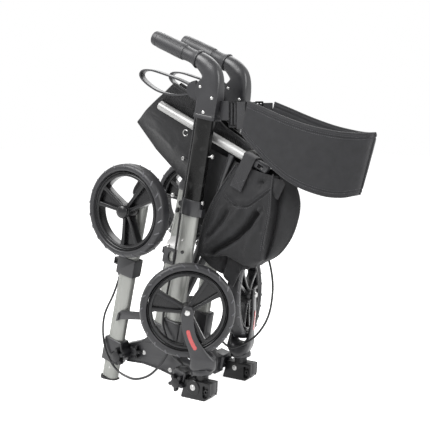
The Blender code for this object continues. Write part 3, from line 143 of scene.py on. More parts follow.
# %% Node tools
def connect(tree, node, inputs):
    """Set a node's inputs, or link them where the value is another node's socket."""
    for key, value in inputs.items():
        if isinstance(value, bpy.types.NodeSocket):
            tree.links.new(value, node.inputs[key])
        else:
            node.inputs[key].default_value = value


def new_node(tree, kind, inputs=None, **settings):
    """A node with its settings and inputs. Gives its outputs."""
    node = tree.nodes.new(kind)
    for key, value in settings.items():
        setattr(node, key, value)
    connect(tree, node, inputs or {})
    return node.outputs


def add(tree, kind, inputs=None, **settings):
    return new_node(tree, "ShaderNode" + kind, inputs, **settings)


def math_node(tree, operation, first, second=0.0, clamp=False):
    return add(tree, "Math", {0: first, 1: second}, operation=operation, use_clamp=clamp)[0]


def times(tree, first, second, clamp=False):
    return math_node(tree, "MULTIPLY", first, second, clamp)


def blend_colour(tree, factor, first, second, mode="MIX"):
    return add(tree, "Mix", {"Factor": factor, 6: first, 7: second}, data_type="RGBA", blend_type=mode)[2]


def spread(tree, value, low=0.0, high=1.0, to_low=0.0, to_high=1.0):
    """Values between low and high, spread from to_low to to_high."""
    inputs = {"Value": value, "From Min": low, "From Max": high, "To Min": to_low, "To Max": to_high}
    return add(tree, "MapRange", inputs)[0]


def cloud(tree, vector, scale, detail, distortion=0.0):
    inputs = {"Vector": vector, "Scale": scale, "Detail": detail, "Distortion": distortion}
    return add(tree, "TexNoise", inputs)[0]


def relief(tree, height, strength, distance, **under):
    """A normal raised by height, on top of another where one is given."""
    return add(tree, "Bump", {"Height": height, "Strength": strength, "Distance": distance, **under})[0]


def seen_directly(tree):
    """1 for rays from the camera, a mirror surface or through glass, else 0."""
    path = add(tree, "LightPath")
    some = math_node(tree, "MAXIMUM", path["Is Camera Ray"], path["Is Glossy Ray"])
    return math_node(tree, "MAXIMUM", some, path["Is Transmission Ray"])


print("node tools ready")

# %% [markdown]
# A white sweep and soft lamps. A studio has one sheet of paper that runs from floor to wall. Here the floor
# is a wide plane, and the world behind it is white. Camera, mirror and see-through rays find pure white,
# while the light that falls on the object stays low, so black plastic doesn't turn grey and the floor keeps
# its shadow.

# %% Floor, backdrop and lamps
FLOOR_GLOW, WORLD_LIGHT, FLOOR_REACH = 0.85, 0.4, 12.0
LAMPS = (
    # azimuth, elevation, distance, size, power
    (-25, 50, 2.2, 1.3, 62),
    (95, 25, 2.4, 1.2, 34),
    (200, 50, 2.4, 1.6, 28),
)
WHITE = (1, 1, 1, 1)
world = bpy.context.scene.world or bpy.data.worlds.new("studio")
bpy.context.scene.world = world
world.use_nodes = True
tree = world.node_tree
tree.nodes.clear()
strength = spread(tree, seen_directly(tree), to_low=WORLD_LIGHT)
add(tree, "OutputWorld", {"Surface": add(tree, "Background", {"Color": WHITE, "Strength": strength})[0]})

floor_mesh = bpy.data.meshes.new("floor")
corners = [(FLOOR_REACH * x, FLOOR_REACH * y, 0) for x, y in ((-1, -1), (1, -1), (1, 1), (-1, 1))]
floor_mesh.from_pydata(corners, [], [(0, 1, 2, 3)])
to_scene(bpy.data.objects.new("floor", floor_mesh))
floor_paint = bpy.data.materials.new("floor")
floor_paint.use_nodes = True
tree = floor_paint.node_tree
tree.nodes.clear()
matt = add(tree, "BsdfDiffuse", {"Color": (0.86, 0.86, 0.86, 1)})[0]
glow = add(tree, "Emission", {"Color": WHITE, "Strength": times(tree, seen_directly(tree), FLOOR_GLOW)})[0]
add(tree, "OutputMaterial", {"Surface": add(tree, "AddShader", {0: matt, 1: glow})[0]})
floor_mesh.materials.append(floor_paint)

for azimuth, elevation, distance, size, power in LAMPS:
    lamp_data = bpy.data.lights.new("softbox", "AREA")
    lamp_data.size = size
    lamp_data.energy = power
    aimed("softbox", lamp_data, azimuth, elevation, distance)
print(len(LAMPS), "lamps")

# %% [markdown]
# Several finishes share the same effects: rubbed edges, dust, the grain of a mould, the weave of cloth and
# the lines of a drawn tube. Each could be drawn again in every material, but a group is built once and
# placed with its own values. A group puts out masks and heights only, so every material keeps its own
# Principled shader.


# %% Shader groups
def new_group(name, numbers, outputs):
    """A shader group with a Vector input, these named numbers and these named outputs."""
    group = bpy.data.node_groups.new(name, "ShaderNodeTree")
    group.interface.new_socket("Vector", in_out="INPUT", socket_type="NodeSocketVector")
    for socket, default in numbers.items():
        made_socket = group.interface.new_socket(socket, in_out="INPUT", socket_type="NodeSocketFloat")
        made_socket.default_value = default
    for socket in outputs:
        group.interface.new_socket(socket, in_out="OUTPUT", socket_type="NodeSocketFloat")
    return group, group.nodes.new("NodeGroupInput").outputs, group.nodes.new("NodeGroupOutput")


def wear_group():
    """Rubbed edges: where the rounded normal turns away from the true one, broken up by noise."""
    group, entry, leave = new_group("edge wear", {"Radius": 0.0015, "Patchiness": 160.0}, ["Mask"])
    soft = add(group, "Bevel", {"Radius": entry["Radius"]}, samples=4)[0]
    true = add(group, "NewGeometry")["Normal"]
    same = add(group, "VectorMath", {0: soft, 1: true}, operation="DOT_PRODUCT")["Value"]
    edge = times(group, math_node(group, "SUBTRACT", 1.0, same), 5.0, clamp=True)
    spots = spread(group, cloud(group, entry["Vector"], entry["Patchiness"], 4), 0.42, 0.62)
    connect(group, leave, {"Mask": times(group, edge, spots)})
    return group


def dust_group():
    """Fine dust that settles on faces that look up."""
    group, entry, leave = new_group("dust", {"Amount": 0.3}, ["Mask"])
    up = add(group, "SeparateXYZ", {0: add(group, "NewGeometry")["Normal"]})["Z"]
    mottled = spread(group, cloud(group, entry["Vector"], 45.0, 6), 0.35, 0.75)
    dusty = times(group, spread(group, up, 0.1), mottled)
    connect(group, leave, {"Mask": times(group, dusty, entry["Amount"])})
    return group


def grain_group():
    """Leathery spark-eroded grain of a moulded part."""
    group, entry, leave = new_group("moulded grain", {"Scale": 900.0}, ["Height", "Cloud"])
    inputs = {"Vector": entry["Vector"], "Scale": entry["Scale"]}
    cells = add(group, "TexVoronoi", inputs, feature="SMOOTH_F1")["Distance"]
    connect(group, leave, {"Height": cells, "Cloud": cloud(group, entry["Vector"], 28.0, 3)})
    return group


def weave_group():
    """Plain weave: two crossing sets of threads that pass over and under each other."""
    group, entry, leave = new_group("weave", {"Threads": 900.0}, ["Height", "Shade"])
    inputs = {0: entry["Vector"], "Scale": entry["Threads"]}
    parts = add(group, "SeparateXYZ", {0: add(group, "VectorMath", inputs, operation="SCALE")[0]})
    across, along = (math_node(group, "SINE", times(group, parts[axis], pi)) for axis in "XY")
    over = math_node(group, "ADD", times(group, times(group, across, along), 0.5), 0.5)
    first, second = (math_node(group, "ABSOLUTE", threads) for threads in (across, along))
    height = add(group, "Mix", {"Factor": over, "A": first, "B": second})[0]
    connect(group, leave, {"Height": height, "Shade": cloud(group, entry["Vector"], 60.0, 5)})
    return group


def drawn_group():
    """Fine lines along a drawn tube. The vector's Z runs along the tube."""
    group, entry, leave = new_group("drawn lines", {"Scale": 700.0}, ["Lines"])
    flat = add(group, "VectorMath", {0: entry["Vector"], 1: (1, 1, 0.012)}, operation="MULTIPLY")[0]
    connect(group, leave, {"Lines": cloud(group, flat, entry["Scale"], 2)})
    return group


GROUPS = {
    "wear": wear_group(), "dust": dust_group(), "grain": grain_group(), "weave": weave_group(),
    "drawn": drawn_group(),
}


def use(tree, name, vector, **numbers):
    """A shared group, placed in a material with its own values."""
    return add(tree, "Group", {"Vector": vector, **numbers}, node_tree=GROUPS[name])


print(len(GROUPS), "shader groups")

# %% [markdown]
# Materials of the hard parts: satin and glossy moulded plastic, black paint, champagne and bright aluminium,
# plated steel, rubber and the red reflector. One colour and one gloss per part would do for a diagram. Real
# parts differ from place to place, so each finish mixes its colour with clouds, wear and dust, and gets its
# relief from a bump, because grain this fine would need millions of faces.


# %% Hard materials
def new_material(name, turn=(0, 0, 0)):
    """A material, its tree, its Principled shader and the object's own coordinates, turned."""
    material = bpy.data.materials.new(name)
    material.use_nodes = True
    tree = material.node_tree
    vector = add(tree, "Mapping", {"Vector": add(tree, "TexCoord")["Object"], "Rotation": turn})[0]
    return material, tree, tree.nodes["Principled BSDF"], vector


def grey(value, tint=(1.0, 1.0, 1.0)):
    return (value * tint[0], value * tint[1], value * tint[2], 1.0)


def plastic(name, value, roughness, grain=900.0, bump=0.1, dust=0.1, shine=0.5):
    """Moulded plastic with grain, rubbed edges and a little dust."""
    material, tree, shader, vector = new_material(name)
    texture = use(tree, "grain", vector, Scale=grain)
    worn = times(tree, use(tree, "wear", vector)["Mask"], 0.5)
    settled = use(tree, "dust", vector, Amount=dust)["Mask"]
    broad = spread(tree, texture["Cloud"], to_low=0.85, to_high=1.2)
    base = blend_colour(tree, 1.0, grey(value, (1, 1, 1.15)), broad, "MULTIPLY")
    base = blend_colour(tree, worn, base, grey(value * 4 + 0.02))
    connect(tree, shader, {
        "Base Color": blend_colour(tree, settled, base, grey(0.16, (1.0, 0.98, 0.94))),
        "Roughness": spread(tree, texture["Cloud"], 0.3, 0.7, roughness - 0.05, roughness + 0.08),
        "Normal": relief(tree, texture["Height"], bump, 0.0004),
        "Specular IOR Level": shine,
    })
    return material


def drawn_metal(name, colour, roughness, lean, metallic, line_depth=0.05):
    """Anodised or bright tube, drawn along its own axis, which leans by this many degrees."""
    material, tree, shader, vector = new_material(name, (0, -radians(lean), 0))
    lines = use(tree, "drawn", vector)["Lines"]
    worn = use(tree, "wear", vector, Radius=0.001)["Mask"]
    smear = cloud(tree, vector, 22.0, 5)
    base = blend_colour(tree, smear, (*(0.86 * part for part in colour), 1), (*colour, 1))
    uneven = math_node(tree, "ADD", lines, smear)
    connect(tree, shader, {
        "Base Color": blend_colour(tree, worn, base, grey(0.75)),
        "Roughness": spread(tree, uneven, 0.7, 1.3, roughness - 0.06, roughness + 0.1),
        "Normal": relief(tree, lines, line_depth, 0.0003),
        "Metallic": metallic,
    })
    return material


def painted(name, value, roughness):
    """Stoved black paint with a fine orange peel and light scuffs."""
    material, tree, shader, vector = new_material(name)
    scuffs = cloud(tree, vector, 35.0, 8, 1.5)
    marks = times(tree, spread(tree, scuffs, 0.56, 0.75), 0.35)
    worn = times(tree, use(tree, "wear", vector, Radius=0.001)["Mask"], 0.6)
    base = blend_colour(tree, marks, grey(value), grey(0.06))
    connect(tree, shader, {
        "Base Color": blend_colour(tree, worn, base, grey(0.22)),
        "Roughness": spread(tree, scuffs, 0.0, 1.0, roughness - 0.05, roughness + 0.15),
        "Normal": relief(tree, cloud(tree, vector, 420.0, 2), 0.06, 0.0004),
        "Specular IOR Level": 0.22, "Coat Weight": 0.06, "Coat Roughness": 0.1,
    })
    return material


def steel(name, value, roughness):
    """Plated steel, a little cloudy."""
    material, tree, shader, vector = new_material(name)
    mottle = cloud(tree, vector, 260.0, 6)
    connect(tree, shader, {
        "Base Color": blend_colour(tree, mottle, grey(value * 0.75), grey(value, (1, 0.99, 0.97))),
        "Roughness": spread(tree, mottle, 0.0, 1.0, roughness - 0.08, roughness + 0.12),
        "Metallic": 1.0,
    })
    return material


def reflector(name):
    """Red prismatic plastic: rows of tiny cells under a clear face."""
    material, tree, shader, vector = new_material(name)
    cells = add(tree, "TexVoronoi", {"Vector": vector, "Scale": 420.0, "Randomness": 0.0})["Distance"]
    connect(tree, shader, {
        "Base Color": blend_colour(tree, cells, (0.62, 0.012, 0.012, 1), (0.3, 0.004, 0.004, 1)),
        "Normal": relief(tree, cells, 0.5, 0.0006),
        "Roughness": 0.16, "Coat Weight": 1.0, "Coat Roughness": 0.04,
    })
    return material


print("finishes ready")

# %% [markdown]
# One material for each finish that the photo tells apart, with two that paint light in: the tread marks are
# much lighter than the tyre as painted glints, and the legs get a darker copy of the posts' champagne as
# painted shade. Black plastic is far from black paint: satin mouldings catch a broad soft light, wheels are
# glossier, and the grips and tyres are dull and a little dusty.

# %% Finishes of the solids
SATIN = plastic("satin_plastic", 0.0145, 0.35, shine=0.56)
BLOCK = plastic("block_plastic", 0.0045, 0.36, shine=0.34)
GLOSS = plastic("wheel_plastic", 0.007, 0.27, grain=1400.0, bump=0.04, shine=0.36)
KNOB = plastic("knob_plastic", 0.009, 0.45, dust=0.06, shine=0.38)
RUBBER = plastic("grip_rubber", 0.0145, 0.46, grain=1600.0, bump=0.16)
# The tread marks are coloured much lighter than the tyre they are moulded in: painted glints.
TREAD_GLINTS = plastic("tread_painted_glints", 0.06, 0.4, grain=1300.0, bump=0.12, dust=0.3)
TYRE = plastic("tyre_rubber", 0.0135, 0.42, grain=1300.0, bump=0.12, dust=0.18)
SHEATH = plastic("cable_sheath", 0.008, 0.33, bump=0.03, dust=0.05)
BLACK_TUBE = painted("black_paint", 0.0042, 0.24)
CHAMPAGNE_POST = drawn_metal("champagne_post", (0.365, 0.37, 0.35), 0.42, 10.7, 0.4)
# A darker copy of the posts' champagne: painted shade on the legs.
SHADED_CHAMPAGNE_LEG = drawn_metal("champagne_leg_painted_shade", (0.3, 0.305, 0.288), 0.42, 13.1, 0.4)
BRIGHT = drawn_metal("bright_aluminium", (0.4, 0.4, 0.395), 0.46, 116.2, 0.45, 0.02)
STEEL = steel("plated_steel", 0.52, 0.3)
RED = reflector("red_reflector")
FINISHES = {
    SATIN: (
        "handle_head", "lower_arm", "caster_block", "caster_fork", "brake_lever", "brake_housing",
        "leg_socket", "post_collar", "rail_end", "leg_foot", "lock_button", "cross_brace",
    ),
    GLOSS: ("front_rim", "rear_rim", "rear_axle"),
    KNOB: ("rear_knob", "front_knob"),
    RUBBER: ("grip",),
    TYRE: ("front_tyre", "rear_tyre"),
    BLACK_TUBE: ("height_tube",),
    CHAMPAGNE_POST: ("post_tube",),
    SHADED_CHAMPAGNE_LEG: ("rear_leg",),
    BRIGHT: ("seat_rail",),
    STEEL: ("front_axle",),
    RED: ("fork_reflector",),
    SHEATH: ("brake_cable",),
}


def dress(name, material):
    mesh = nodes[name].data
    mesh.materials.clear()
    mesh.materials.append(material)


for material, kinds in FINISHES.items():
    for kind in kinds:
        for side in SIDES:
            dress(f"{side}_{kind}", material)
dress("brace_pin", STEEL)
print(len(FINISHES), "finishes on the solids")

# %% [markdown]
# Tools for shapes. Most parts of the walker are lofted, turned or cut from plate, as they are in a CAD
# program. Each tool gives a mesh drawn in the side plane of the right-hand side. The mesh is then mirrored
# for the left and moved to its place, so both sides come from the same numbers, with their faces pointing
# outwards.

# %% Curves and rings
def mm(*rows):
    """Rows of millimetres, in metres."""
    return [tuple(round(value / 1000, 8) for value in row) for row in rows]


def smooth_points(points, per):
    """Points on a smooth curve through the given ones, with this many steps between each two."""
    knots = [Vector(point) for point in points]
    knots = [2 * knots[0] - knots[1], *knots, 2 * knots[-1] - knots[-2]]
    result = []
    for a, b, c, d in zip(knots, knots[1:], knots[2:], knots[3:]):
        cubic = 3 * b - a - 3 * c + d
        for t in (part / per for part in range(per)):
            result.append(0.5 * (2 * b + (c - a) * t + (2 * a - 5 * b + 4 * c - d) * t**2 + cubic * t**3))
    return [*result, knots[-2]]


def oval(centre, across, deep, half_across, half_deep, power=2.0, count=24, turn=0.0):
    """A ring of points, round at power 2 and ever squarer above it."""
    ring = []
    for index in range(count):
        angle = 2 * pi * (index + turn) / count
        u, v = (copysign(abs(w) ** (2 / power), w) for w in (cos(angle), sin(angle)))
        ring.append(centre + across * (u * half_across) + deep * (v * half_deep))
    return ring


def ways_along(path):
    """The direction of a path at each of its points, from the one before to the one after."""
    last = len(path) - 1
    return [(path[min(i + 1, last)] - path[max(i - 1, 0)]).normalized() for i in range(last + 1)]


def outline_of(points):
    return [(point.x, point.z) for point in points]


# %% Solids from rings and outlines
def join_rows(bm, first, second):
    """Faces between two rows of points."""
    for corners in zip(first, first[1:], second[1:], second):
        bm.faces.new(corners)


def skin(rings, closed=False):
    """A surface over rings of points, with end faces unless the last ring joins the first."""
    bm = bmesh.new()
    rows = [[bm.verts.new(point) for point in ring] for ring in rings]
    for first, second in zip(rows, rows[1:] + rows[:1] if closed else rows[1:]):
        join_rows(bm, first + first[:1], second + second[:1])
    if not closed:
        bm.faces.new(rows[0][::-1])
        bm.faces.new(rows[-1])
    return bm


def lathe(profile, origin, way, steps=48, closed=False):
    """(radius, height) pairs turned about way. A closed profile makes a ring; an open one gets end faces."""
    matrix = facing(origin, way, (0.3, 0.2, 0.9))
    rings = []
    for radius, height in profile:
        points = oval(Vector((0, 0, height)), X_WAY, Y_WAY, radius, radius, count=steps)
        rings.append([matrix @ point for point in points])
    return skin(rings, closed)


def plate(outline, low_y, high_y, bevel):
    """A plate drawn in the side plane, from low_y to high_y, with rounded edges."""
    bm = bmesh.new()
    lower, upper = ([bm.verts.new((x, y, z)) for x, z in outline] for y in (low_y, high_y))
    bm.faces.new(lower)
    bm.faces.new(upper[::-1])
    for corners in zip(lower[1:] + lower[:1], lower, upper, upper[1:] + upper[:1]):
        bm.faces.new(corners)
    bmesh.ops.recalc_face_normals(bm, faces=bm.faces)
    edges = [edge for edge in bm.edges if edge.calc_face_angle(0) > radians(32)]
    bmesh.ops.bevel(bm, geom=edges, offset=bevel, segments=2, affect="EDGES", clamp_overlap=True)
    return bm


def mesh_of(name, bm):
    mesh = bpy.data.meshes.new(name)
    bm.to_mesh(mesh)
    bm.free()
    return mesh


def moved(bm, matrix):
    bmesh.ops.transform(bm, matrix=matrix, verts=bm.verts)
    return bm


def bar(centre, size, z_way, hint=Y_WAY, bevel=0.0, segments=2):
    """A block with rounded edges, its local Z along z_way."""
    bm = bmesh.new()
    bmesh.ops.create_cube(bm, size=1)
    bmesh.ops.scale(bm, vec=size, verts=bm.verts)
    if bevel:
        bmesh.ops.bevel(bm, geom=bm.edges[:], offset=bevel, segments=segments, affect="EDGES")
    return moved(bm, facing(centre, z_way, hint))


def tube(points, radius, sides=12):
    """A round tube along points, closed at both ends."""
    path = [Vector(point) for point in points]
    ways = [(b - a).normalized() for a, b in zip(path, path[1:])]
    ways = [ways[0], *[(a + b).normalized() for a, b in zip(ways, ways[1:])], ways[-1]]
    across = ways[0].orthogonal().normalized()
    rings = []
    for point, way in zip(path, ways):
        across = (across - way * across.dot(way)).normalized()
        rings.append(oval(point, across, way.cross(across), radius, radius, count=sides))
    return skin(rings)


def merged(*parts):
    whole = bmesh.new()
    for part in parts:
        mesh = mesh_of("part", part)
        whole.from_mesh(mesh)
        bpy.data.meshes.remove(mesh)
    return whole


print("shape tools ready")

# %% [markdown]
# A plate with holes comes from a filled curve, because the curve fills round its holes by itself and its
# bevel rounds every rim, also inside the holes.


# %% Plates with holes
def panel(outline, holes, low_y, high_y, bevel=0.0006):
    """A plate in the side plane with holes and rounded edges."""
    curve = bpy.data.curves.new("panel", "CURVE")
    curve.dimensions = "2D"
    curve.fill_mode = "BOTH"
    curve.extrude = abs(high_y - low_y) / 2 - bevel
    curve.bevel_depth = bevel
    curve.bevel_resolution = 1
    curve.offset = -bevel
    for loop in (outline, *holes):
        spline = curve.splines.new("POLY")
        spline.points.add(len(loop) - 1)
        for point, (x, z) in zip(spline.points, loop):
            point.co = (x, z, 0, 1)
        spline.use_cyclic_u = True
    obj = to_scene(bpy.data.objects.new("panel", curve))
    graph = bpy.context.evaluated_depsgraph_get()
    mesh = bpy.data.meshes.new_from_object(obj.evaluated_get(graph))
    middle = Vector((0, (low_y + high_y) / 2, 0))
    mesh.transform(Matrix.Translation(middle) @ Matrix.Rotation(pi / 2, 4, "X"))
    bpy.data.objects.remove(obj)
    bm = bmesh.new()
    bm.from_mesh(mesh)
    bpy.data.meshes.remove(mesh)
    return bm


def circle_outline(x, z, radius, steps, flat=1.0, way=Z_WAY):
    """A circle, or an oval whose longer half, flat times the radius, lies along way."""
    points = []
    for index in range(steps):
        angle = 2 * pi * index / steps
        u, v = radius * cos(angle), radius * flat * sin(angle)
        points.append((x + way.x * v + way.z * u, z + way.z * v - way.x * u))
    return points


def rounded_outline(corners, radius, steps=4):
    """The outline with each corner cut by a small arc-like curve."""
    result = []
    count = len(corners)
    for index, corner in enumerate(corners):
        here = Vector(corner)
        before, after = Vector(corners[index - 1]), Vector(corners[(index + 1) % count])
        ways = (before - here, after - here)
        start, end = (here + way.normalized() * min(radius, way.length / 2) for way in ways)
        for part in range(steps + 1):
            t = part / steps
            result.append(tuple((1 - t) ** 2 * start + 2 * t * (1 - t) * here + t * t * end))
    return result


print("plate tools ready")

# %% [markdown]
# A finished piece stands at the origin with its place in its mesh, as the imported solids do, and rides on the
# body that carries it. Faces that meet at a sharp angle keep their edge, and all others shade smoothly.

# %% Finished pieces
def finished(obj, smooth, body):
    """Shade a piece smooth up to an edge angle, and let it ride on its body."""
    obj.data.shade_smooth()
    obj.data.set_sharp_from_angle(angle=radians(smooth))
    if body:
        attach(obj, body)
    return obj


def new_piece(name, bm, material, body=None, side="right", smooth=38):
    """A finished object from a mesh drawn on the right-hand side."""
    bmesh.ops.remove_doubles(bm, verts=bm.verts, dist=1e-6)
    bmesh.ops.recalc_face_normals(bm, faces=bm.faces)
    if side == "left":
        bmesh.ops.scale(bm, vec=(1, -1, 1), verts=bm.verts)
        bmesh.ops.reverse_faces(bm, faces=bm.faces)
    bmesh.ops.translate(bm, vec=ORIGIN, verts=bm.verts)
    mesh = mesh_of(name, bm)
    mesh.materials.append(material)
    return finished(to_scene(bpy.data.objects.new(name, mesh)), smooth, body)


def side_piece(side, body, name, bm, material, smooth=38, instead_of=None):
    """A piece of one side that rides on that side's body, and the solid it stands in for."""
    obj = new_piece(f"{side}_{name}", bm, material, f"{side}_{body}", side, smooth)
    if instead_of:
        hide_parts(f"{side}_{instead_of}")
    return obj


print("piece tools ready")

# %% [markdown]
# What repeats is laid out by Geometry Nodes: an array of copies placed by hand would take a loop for each
# row, while a tree needs only its sizes. Each tree is built here from named inputs, runs on a piece's guide
# mesh, and is baked to a plain mesh before the piece rides on its body.

# %% Geometry Nodes tools
def new_tree(name, **inputs):
    """An empty tree with these named inputs and their kinds, and one for the material."""
    tree = bpy.data.node_groups.new(name, "GeometryNodeTree")
    tree.interface.new_socket("Geometry", in_out="INPUT", socket_type="NodeSocketGeometry")
    for socket, kind in {**inputs, "Material": "Material"}.items():
        tree.interface.new_socket(socket, in_out="INPUT", socket_type="NodeSocket" + kind)
    tree.interface.new_socket("Geometry", in_out="OUTPUT", socket_type="NodeSocketGeometry")
    return tree, tree.nodes.new("NodeGroupInput").outputs, tree.nodes.new("NodeGroupOutput")


def step(tree, kind, inputs=None, **settings):
    return new_node(tree, "GeometryNode" + kind, inputs, **settings)


def turned_to(tree, way, axis, **settings):
    """The rotation that turns this local axis to way."""
    kind = "FunctionNodeAlignRotationToVector"
    return new_node(tree, kind, {"Vector": way}, axis=axis, **settings)[0]


def close_tree(tree, leave, geometry, entry):
    """End a tree with Realize Instances and Set Material."""
    real = step(tree, "RealizeInstances", {"Geometry": geometry})[0]
    coated = step(tree, "SetMaterial", {"Geometry": real, "Material": entry["Material"]})[0]
    connect(tree, leave, {"Geometry": coated})
    return tree


def set_inputs(modifier, tree, values):
    """Give a modifier its tree, and set the tree's inputs by their sockets' identifiers."""
    modifier.node_group = tree
    for item in tree.interface.items_tree:
        if item.item_type == "SOCKET" and item.in_out == "INPUT" and item.name in values:
            modifier[item.identifier] = values[item.name]


def grown(name, guide, tree, values, body=None, smooth=38):
    """Run a tree on a guide mesh, which already stands in its place, and keep the plain mesh it makes."""
    mesh = mesh_of(name, guide)
    obj = to_scene(bpy.data.objects.new(name, mesh))
    modifier = obj.modifiers.new("grow", "NODES")
    set_inputs(modifier, tree, values)
    bpy.context.view_layer.update()
    graph = bpy.context.evaluated_depsgraph_get()
    baked_mesh = bpy.data.meshes.new_from_object(obj.evaluated_get(graph))
    obj.modifiers.remove(modifier)
    obj.data = baked_mesh
    bpy.data.meshes.remove(mesh)
    baked_mesh.name = name
    return finished(obj, smooth, body)


def stand(obj, side, matrix, body):
    """Move a baked piece from its own frame to its place on this side, and let it ride on its body."""
    obj.data.transform(Matrix.Translation(ORIGIN) @ Matrix.Scale(SIDES[side], 4, Y_WAY) @ matrix)
    if side == "left":
        obj.data.flip_normals()
    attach(obj, body)


print("Geometry Nodes tools ready")

# %% [markdown]
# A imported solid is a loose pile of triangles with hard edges. Its own mesh must stay as it is, so live
# modifiers weld it, round its edges as a mould does, and shade it smooth up to an edge angle.


# %% Softening of solids
def smooth_tree():
    """Welds a solid's loose triangles and shades it smooth up to an edge angle."""
    tree, entry, leave = new_tree("smooth by angle", Angle="Float")
    inputs = {"Geometry": entry["Geometry"], "Distance": 0.000002}
    whole = step(tree, "MergeByDistance", inputs)[0]
    whole = step(tree, "SetShadeSmooth", {"Geometry": whole}, domain="FACE")[0]
    turn = step(tree, "InputMeshEdgeAngle")["Unsigned Angle"]
    sharp = new_node(tree, "FunctionNodeCompare", {0: turn, 1: entry["Angle"]}, operation="GREATER_THAN")[0]
    inputs = {"Geometry": whole, "Selection": sharp, "Shade Smooth": False}
    return close_tree(tree, leave, step(tree, "SetShadeSmooth", inputs, domain="EDGE")[0], entry)


SMOOTH_ANGLE = 48
SMOOTH_TREE = smooth_tree()


def soften(name, width):
    """Round a solid's edges by live modifiers."""
    obj = nodes[name]
    weld = obj.modifiers.new("weld", "WELD")
    weld.merge_threshold = 0.000002
    if width:
        bevel = obj.modifiers.new("edges", "BEVEL")
        bevel.width = width
        bevel.segments = 2
        bevel.limit_method = "ANGLE"
        bevel.angle_limit = radians(28)
        bevel.use_clamp_overlap = True
    values = {"Angle": radians(SMOOTH_ANGLE), "Material": obj.data.materials[0]}
    set_inputs(obj.modifiers.new("shading", "NODES"), SMOOTH_TREE, values)


print("smooth up to", SMOOTH_ANGLE, "degrees")

# %% [markdown]
# Brake cables. Each runs from under its handle down the post, under the lower arm and up to the brake on the
# rear leg. A real cable has one outer sleeve, held to the post by a clip. A simulated rope would hang by
# chance, so each route is a smooth curve through places read from the photo. Here the sleeve is two cords
# that meet in the clip.

# %% Routes of the cables
LEG_POINT, LEG_WIDTH, LEG_DEPTH = Vector((-0.2315, 0, 0)), 0.04, 0.023
POST_POINT, POST_WIDTH, POST_DEPTH = Vector((0.013, 0, 0.588)), 0.0375, 0.022
HEIGHT_WIDTH, HEIGHT_DEPTH = 0.0421, 0.0266
BRAKE_LOW, BRAKE_HIGH = 0.245, 0.281
CABLE_RADIUS = 0.0025


def on_line(point, way, z, y=0.0):
    """The point at height z on a leaning line of the side plane, y out from the middle plane."""
    found = point + way * ((z - point.z) / way.z)
    return Vector((found.x, -y, z))


cable_top = POST_POINT - ACROSS_POST * (HEIGHT_WIDTH / 2 + 0.005)
cable_top.y = -POST_Y
ferrule_low = on_line(LEG_POINT, LEG_WAY, BRAKE_LOW, LEG_Y) - ACROSS_LEG * (LEG_WIDTH / 2 + 0.0035)
ferrule_low -= LEG_WAY * 0.0123
LEG_RUN = (
    *mm(
        (-105, -96, 33.5), (-139, -100, 18.5), (-166, -103, 20.5), (-196, -104, 33), (-221, -104, 64),
        (-233.5, -102, 105), (-232.5, -97, 150), (-214.5, -88, 195),
    ),
    ferrule_low - LEG_WAY * 0.01, ferrule_low,
)
RIGHT_RUN = mm(
    (-37, -53, 465), (-54, -53, 380), (-70, -53, 290), (-90, -56, 200), (-86, -74, 145), (-64, -84, 100),
    (-76, -90, 66),
)
LEFT_RUN = mm(
    (-26, -68, 520), (10, -82, 450), (50, -74, 375), (86, -62, 315), (106, -58, 265), (112, -56, 215),
    (101, -54, 156), (68, -50, 108), (19, -44, 80), (-20, -58, 86), (-46, -78, 90), (-70, -86, 68),
)
ROUTES = {
    "right": (cable_top, cable_top - POST_WAY * 0.06, *RIGHT_RUN, *LEG_RUN),
    "left": (cable_top, cable_top - POST_WAY * 0.03, *LEFT_RUN, *LEG_RUN),
}
CLIP_HEIGHT = {"right": 0.29, "left": 0.315}


def in_place(point, side):
    return ORIGIN + Vector((point.x, point.y * SIDES[side], point.z))


# %% Cables and their clips
def make_cable(side):
    route = smooth_points(ROUTES[side], 9)
    split = next(index for index, point in enumerate(route) if point.z < CLIP_HEIGHT[side])
    for part, path in (("upper", route[:split + 1]), ("lower", route[split:])):
        obj = new_piece(f"{side}_{part}_cable", tube(path, CABLE_RADIUS, 12), SHEATH, side=side, smooth=60)
        if part == "upper":
            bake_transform(obj)
        else:
            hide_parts(f"{side}_brake_cable")
            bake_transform(obj)
    way = (route[split + 1] - route[split - 1]).normalized() * 0.0065
    clip = tube([route[split] - way, route[split] + way], 0.0037, 16)
    side_piece(side, "frame", "cable_clip", clip, SATIN)


for side in SIDES:
    make_cable(side)
print("cables and clips")

# %% [markdown]
# Wheels. A soft grey-black tyre sits on a moulded rim: a stepped ring, a hub, and three groups of two ribs
# with a thin web between them. The rim could be cut from a disc by booleans, but a turned profile and lofted
# ribs give clean rounded edges. The short curved marks on the tyre's shoulders are laid round it by Geometry
# Nodes, and are coloured much lighter than the tyre as painted glints.


# %% Tread marks
def mark_tree():
    """Small curved ridges round both shoulders. The wheel's axis is Z."""
    tree, entry, leave = new_tree(
        "tread marks", Count="Int", Radius="Float", Start="Vector", Middle="Vector", End="Vector",
        Thickness="Float",
    )
    ends = {name: entry[name] for name in ("Start", "Middle", "End")}
    line = step(tree, "CurveQuadraticBezier", {"Resolution": 5, **ends})[0]
    section = step(tree, "CurvePrimitiveCircle", {"Resolution": 5, "Radius": entry["Thickness"]})[0]
    ridge = step(tree, "CurveToMesh", {"Curve": line, "Profile Curve": section, "Fill Caps": True})[0]
    circle = step(tree, "MeshCircle", {"Vertices": entry["Count"], "Radius": entry["Radius"]})[0]
    turn = turned_to(tree, step(tree, "InputPosition")[0], "X", pivot_axis="Z")
    near = step(tree, "InstanceOnPoints", {"Points": circle, "Instance": ridge, "Rotation": turn})[0]
    flipped = step(tree, "Transform", {"Geometry": near, "Rotation": (pi, 0, 0.14)})[0]
    both = tree.nodes.new("GeometryNodeJoinGeometry")
    for part in (near, flipped):
        tree.links.new(part, both.inputs[0])
    return close_tree(tree, leave, both.outputs[0], entry)


MARK_TREE = mark_tree()
print("tread tree ready")

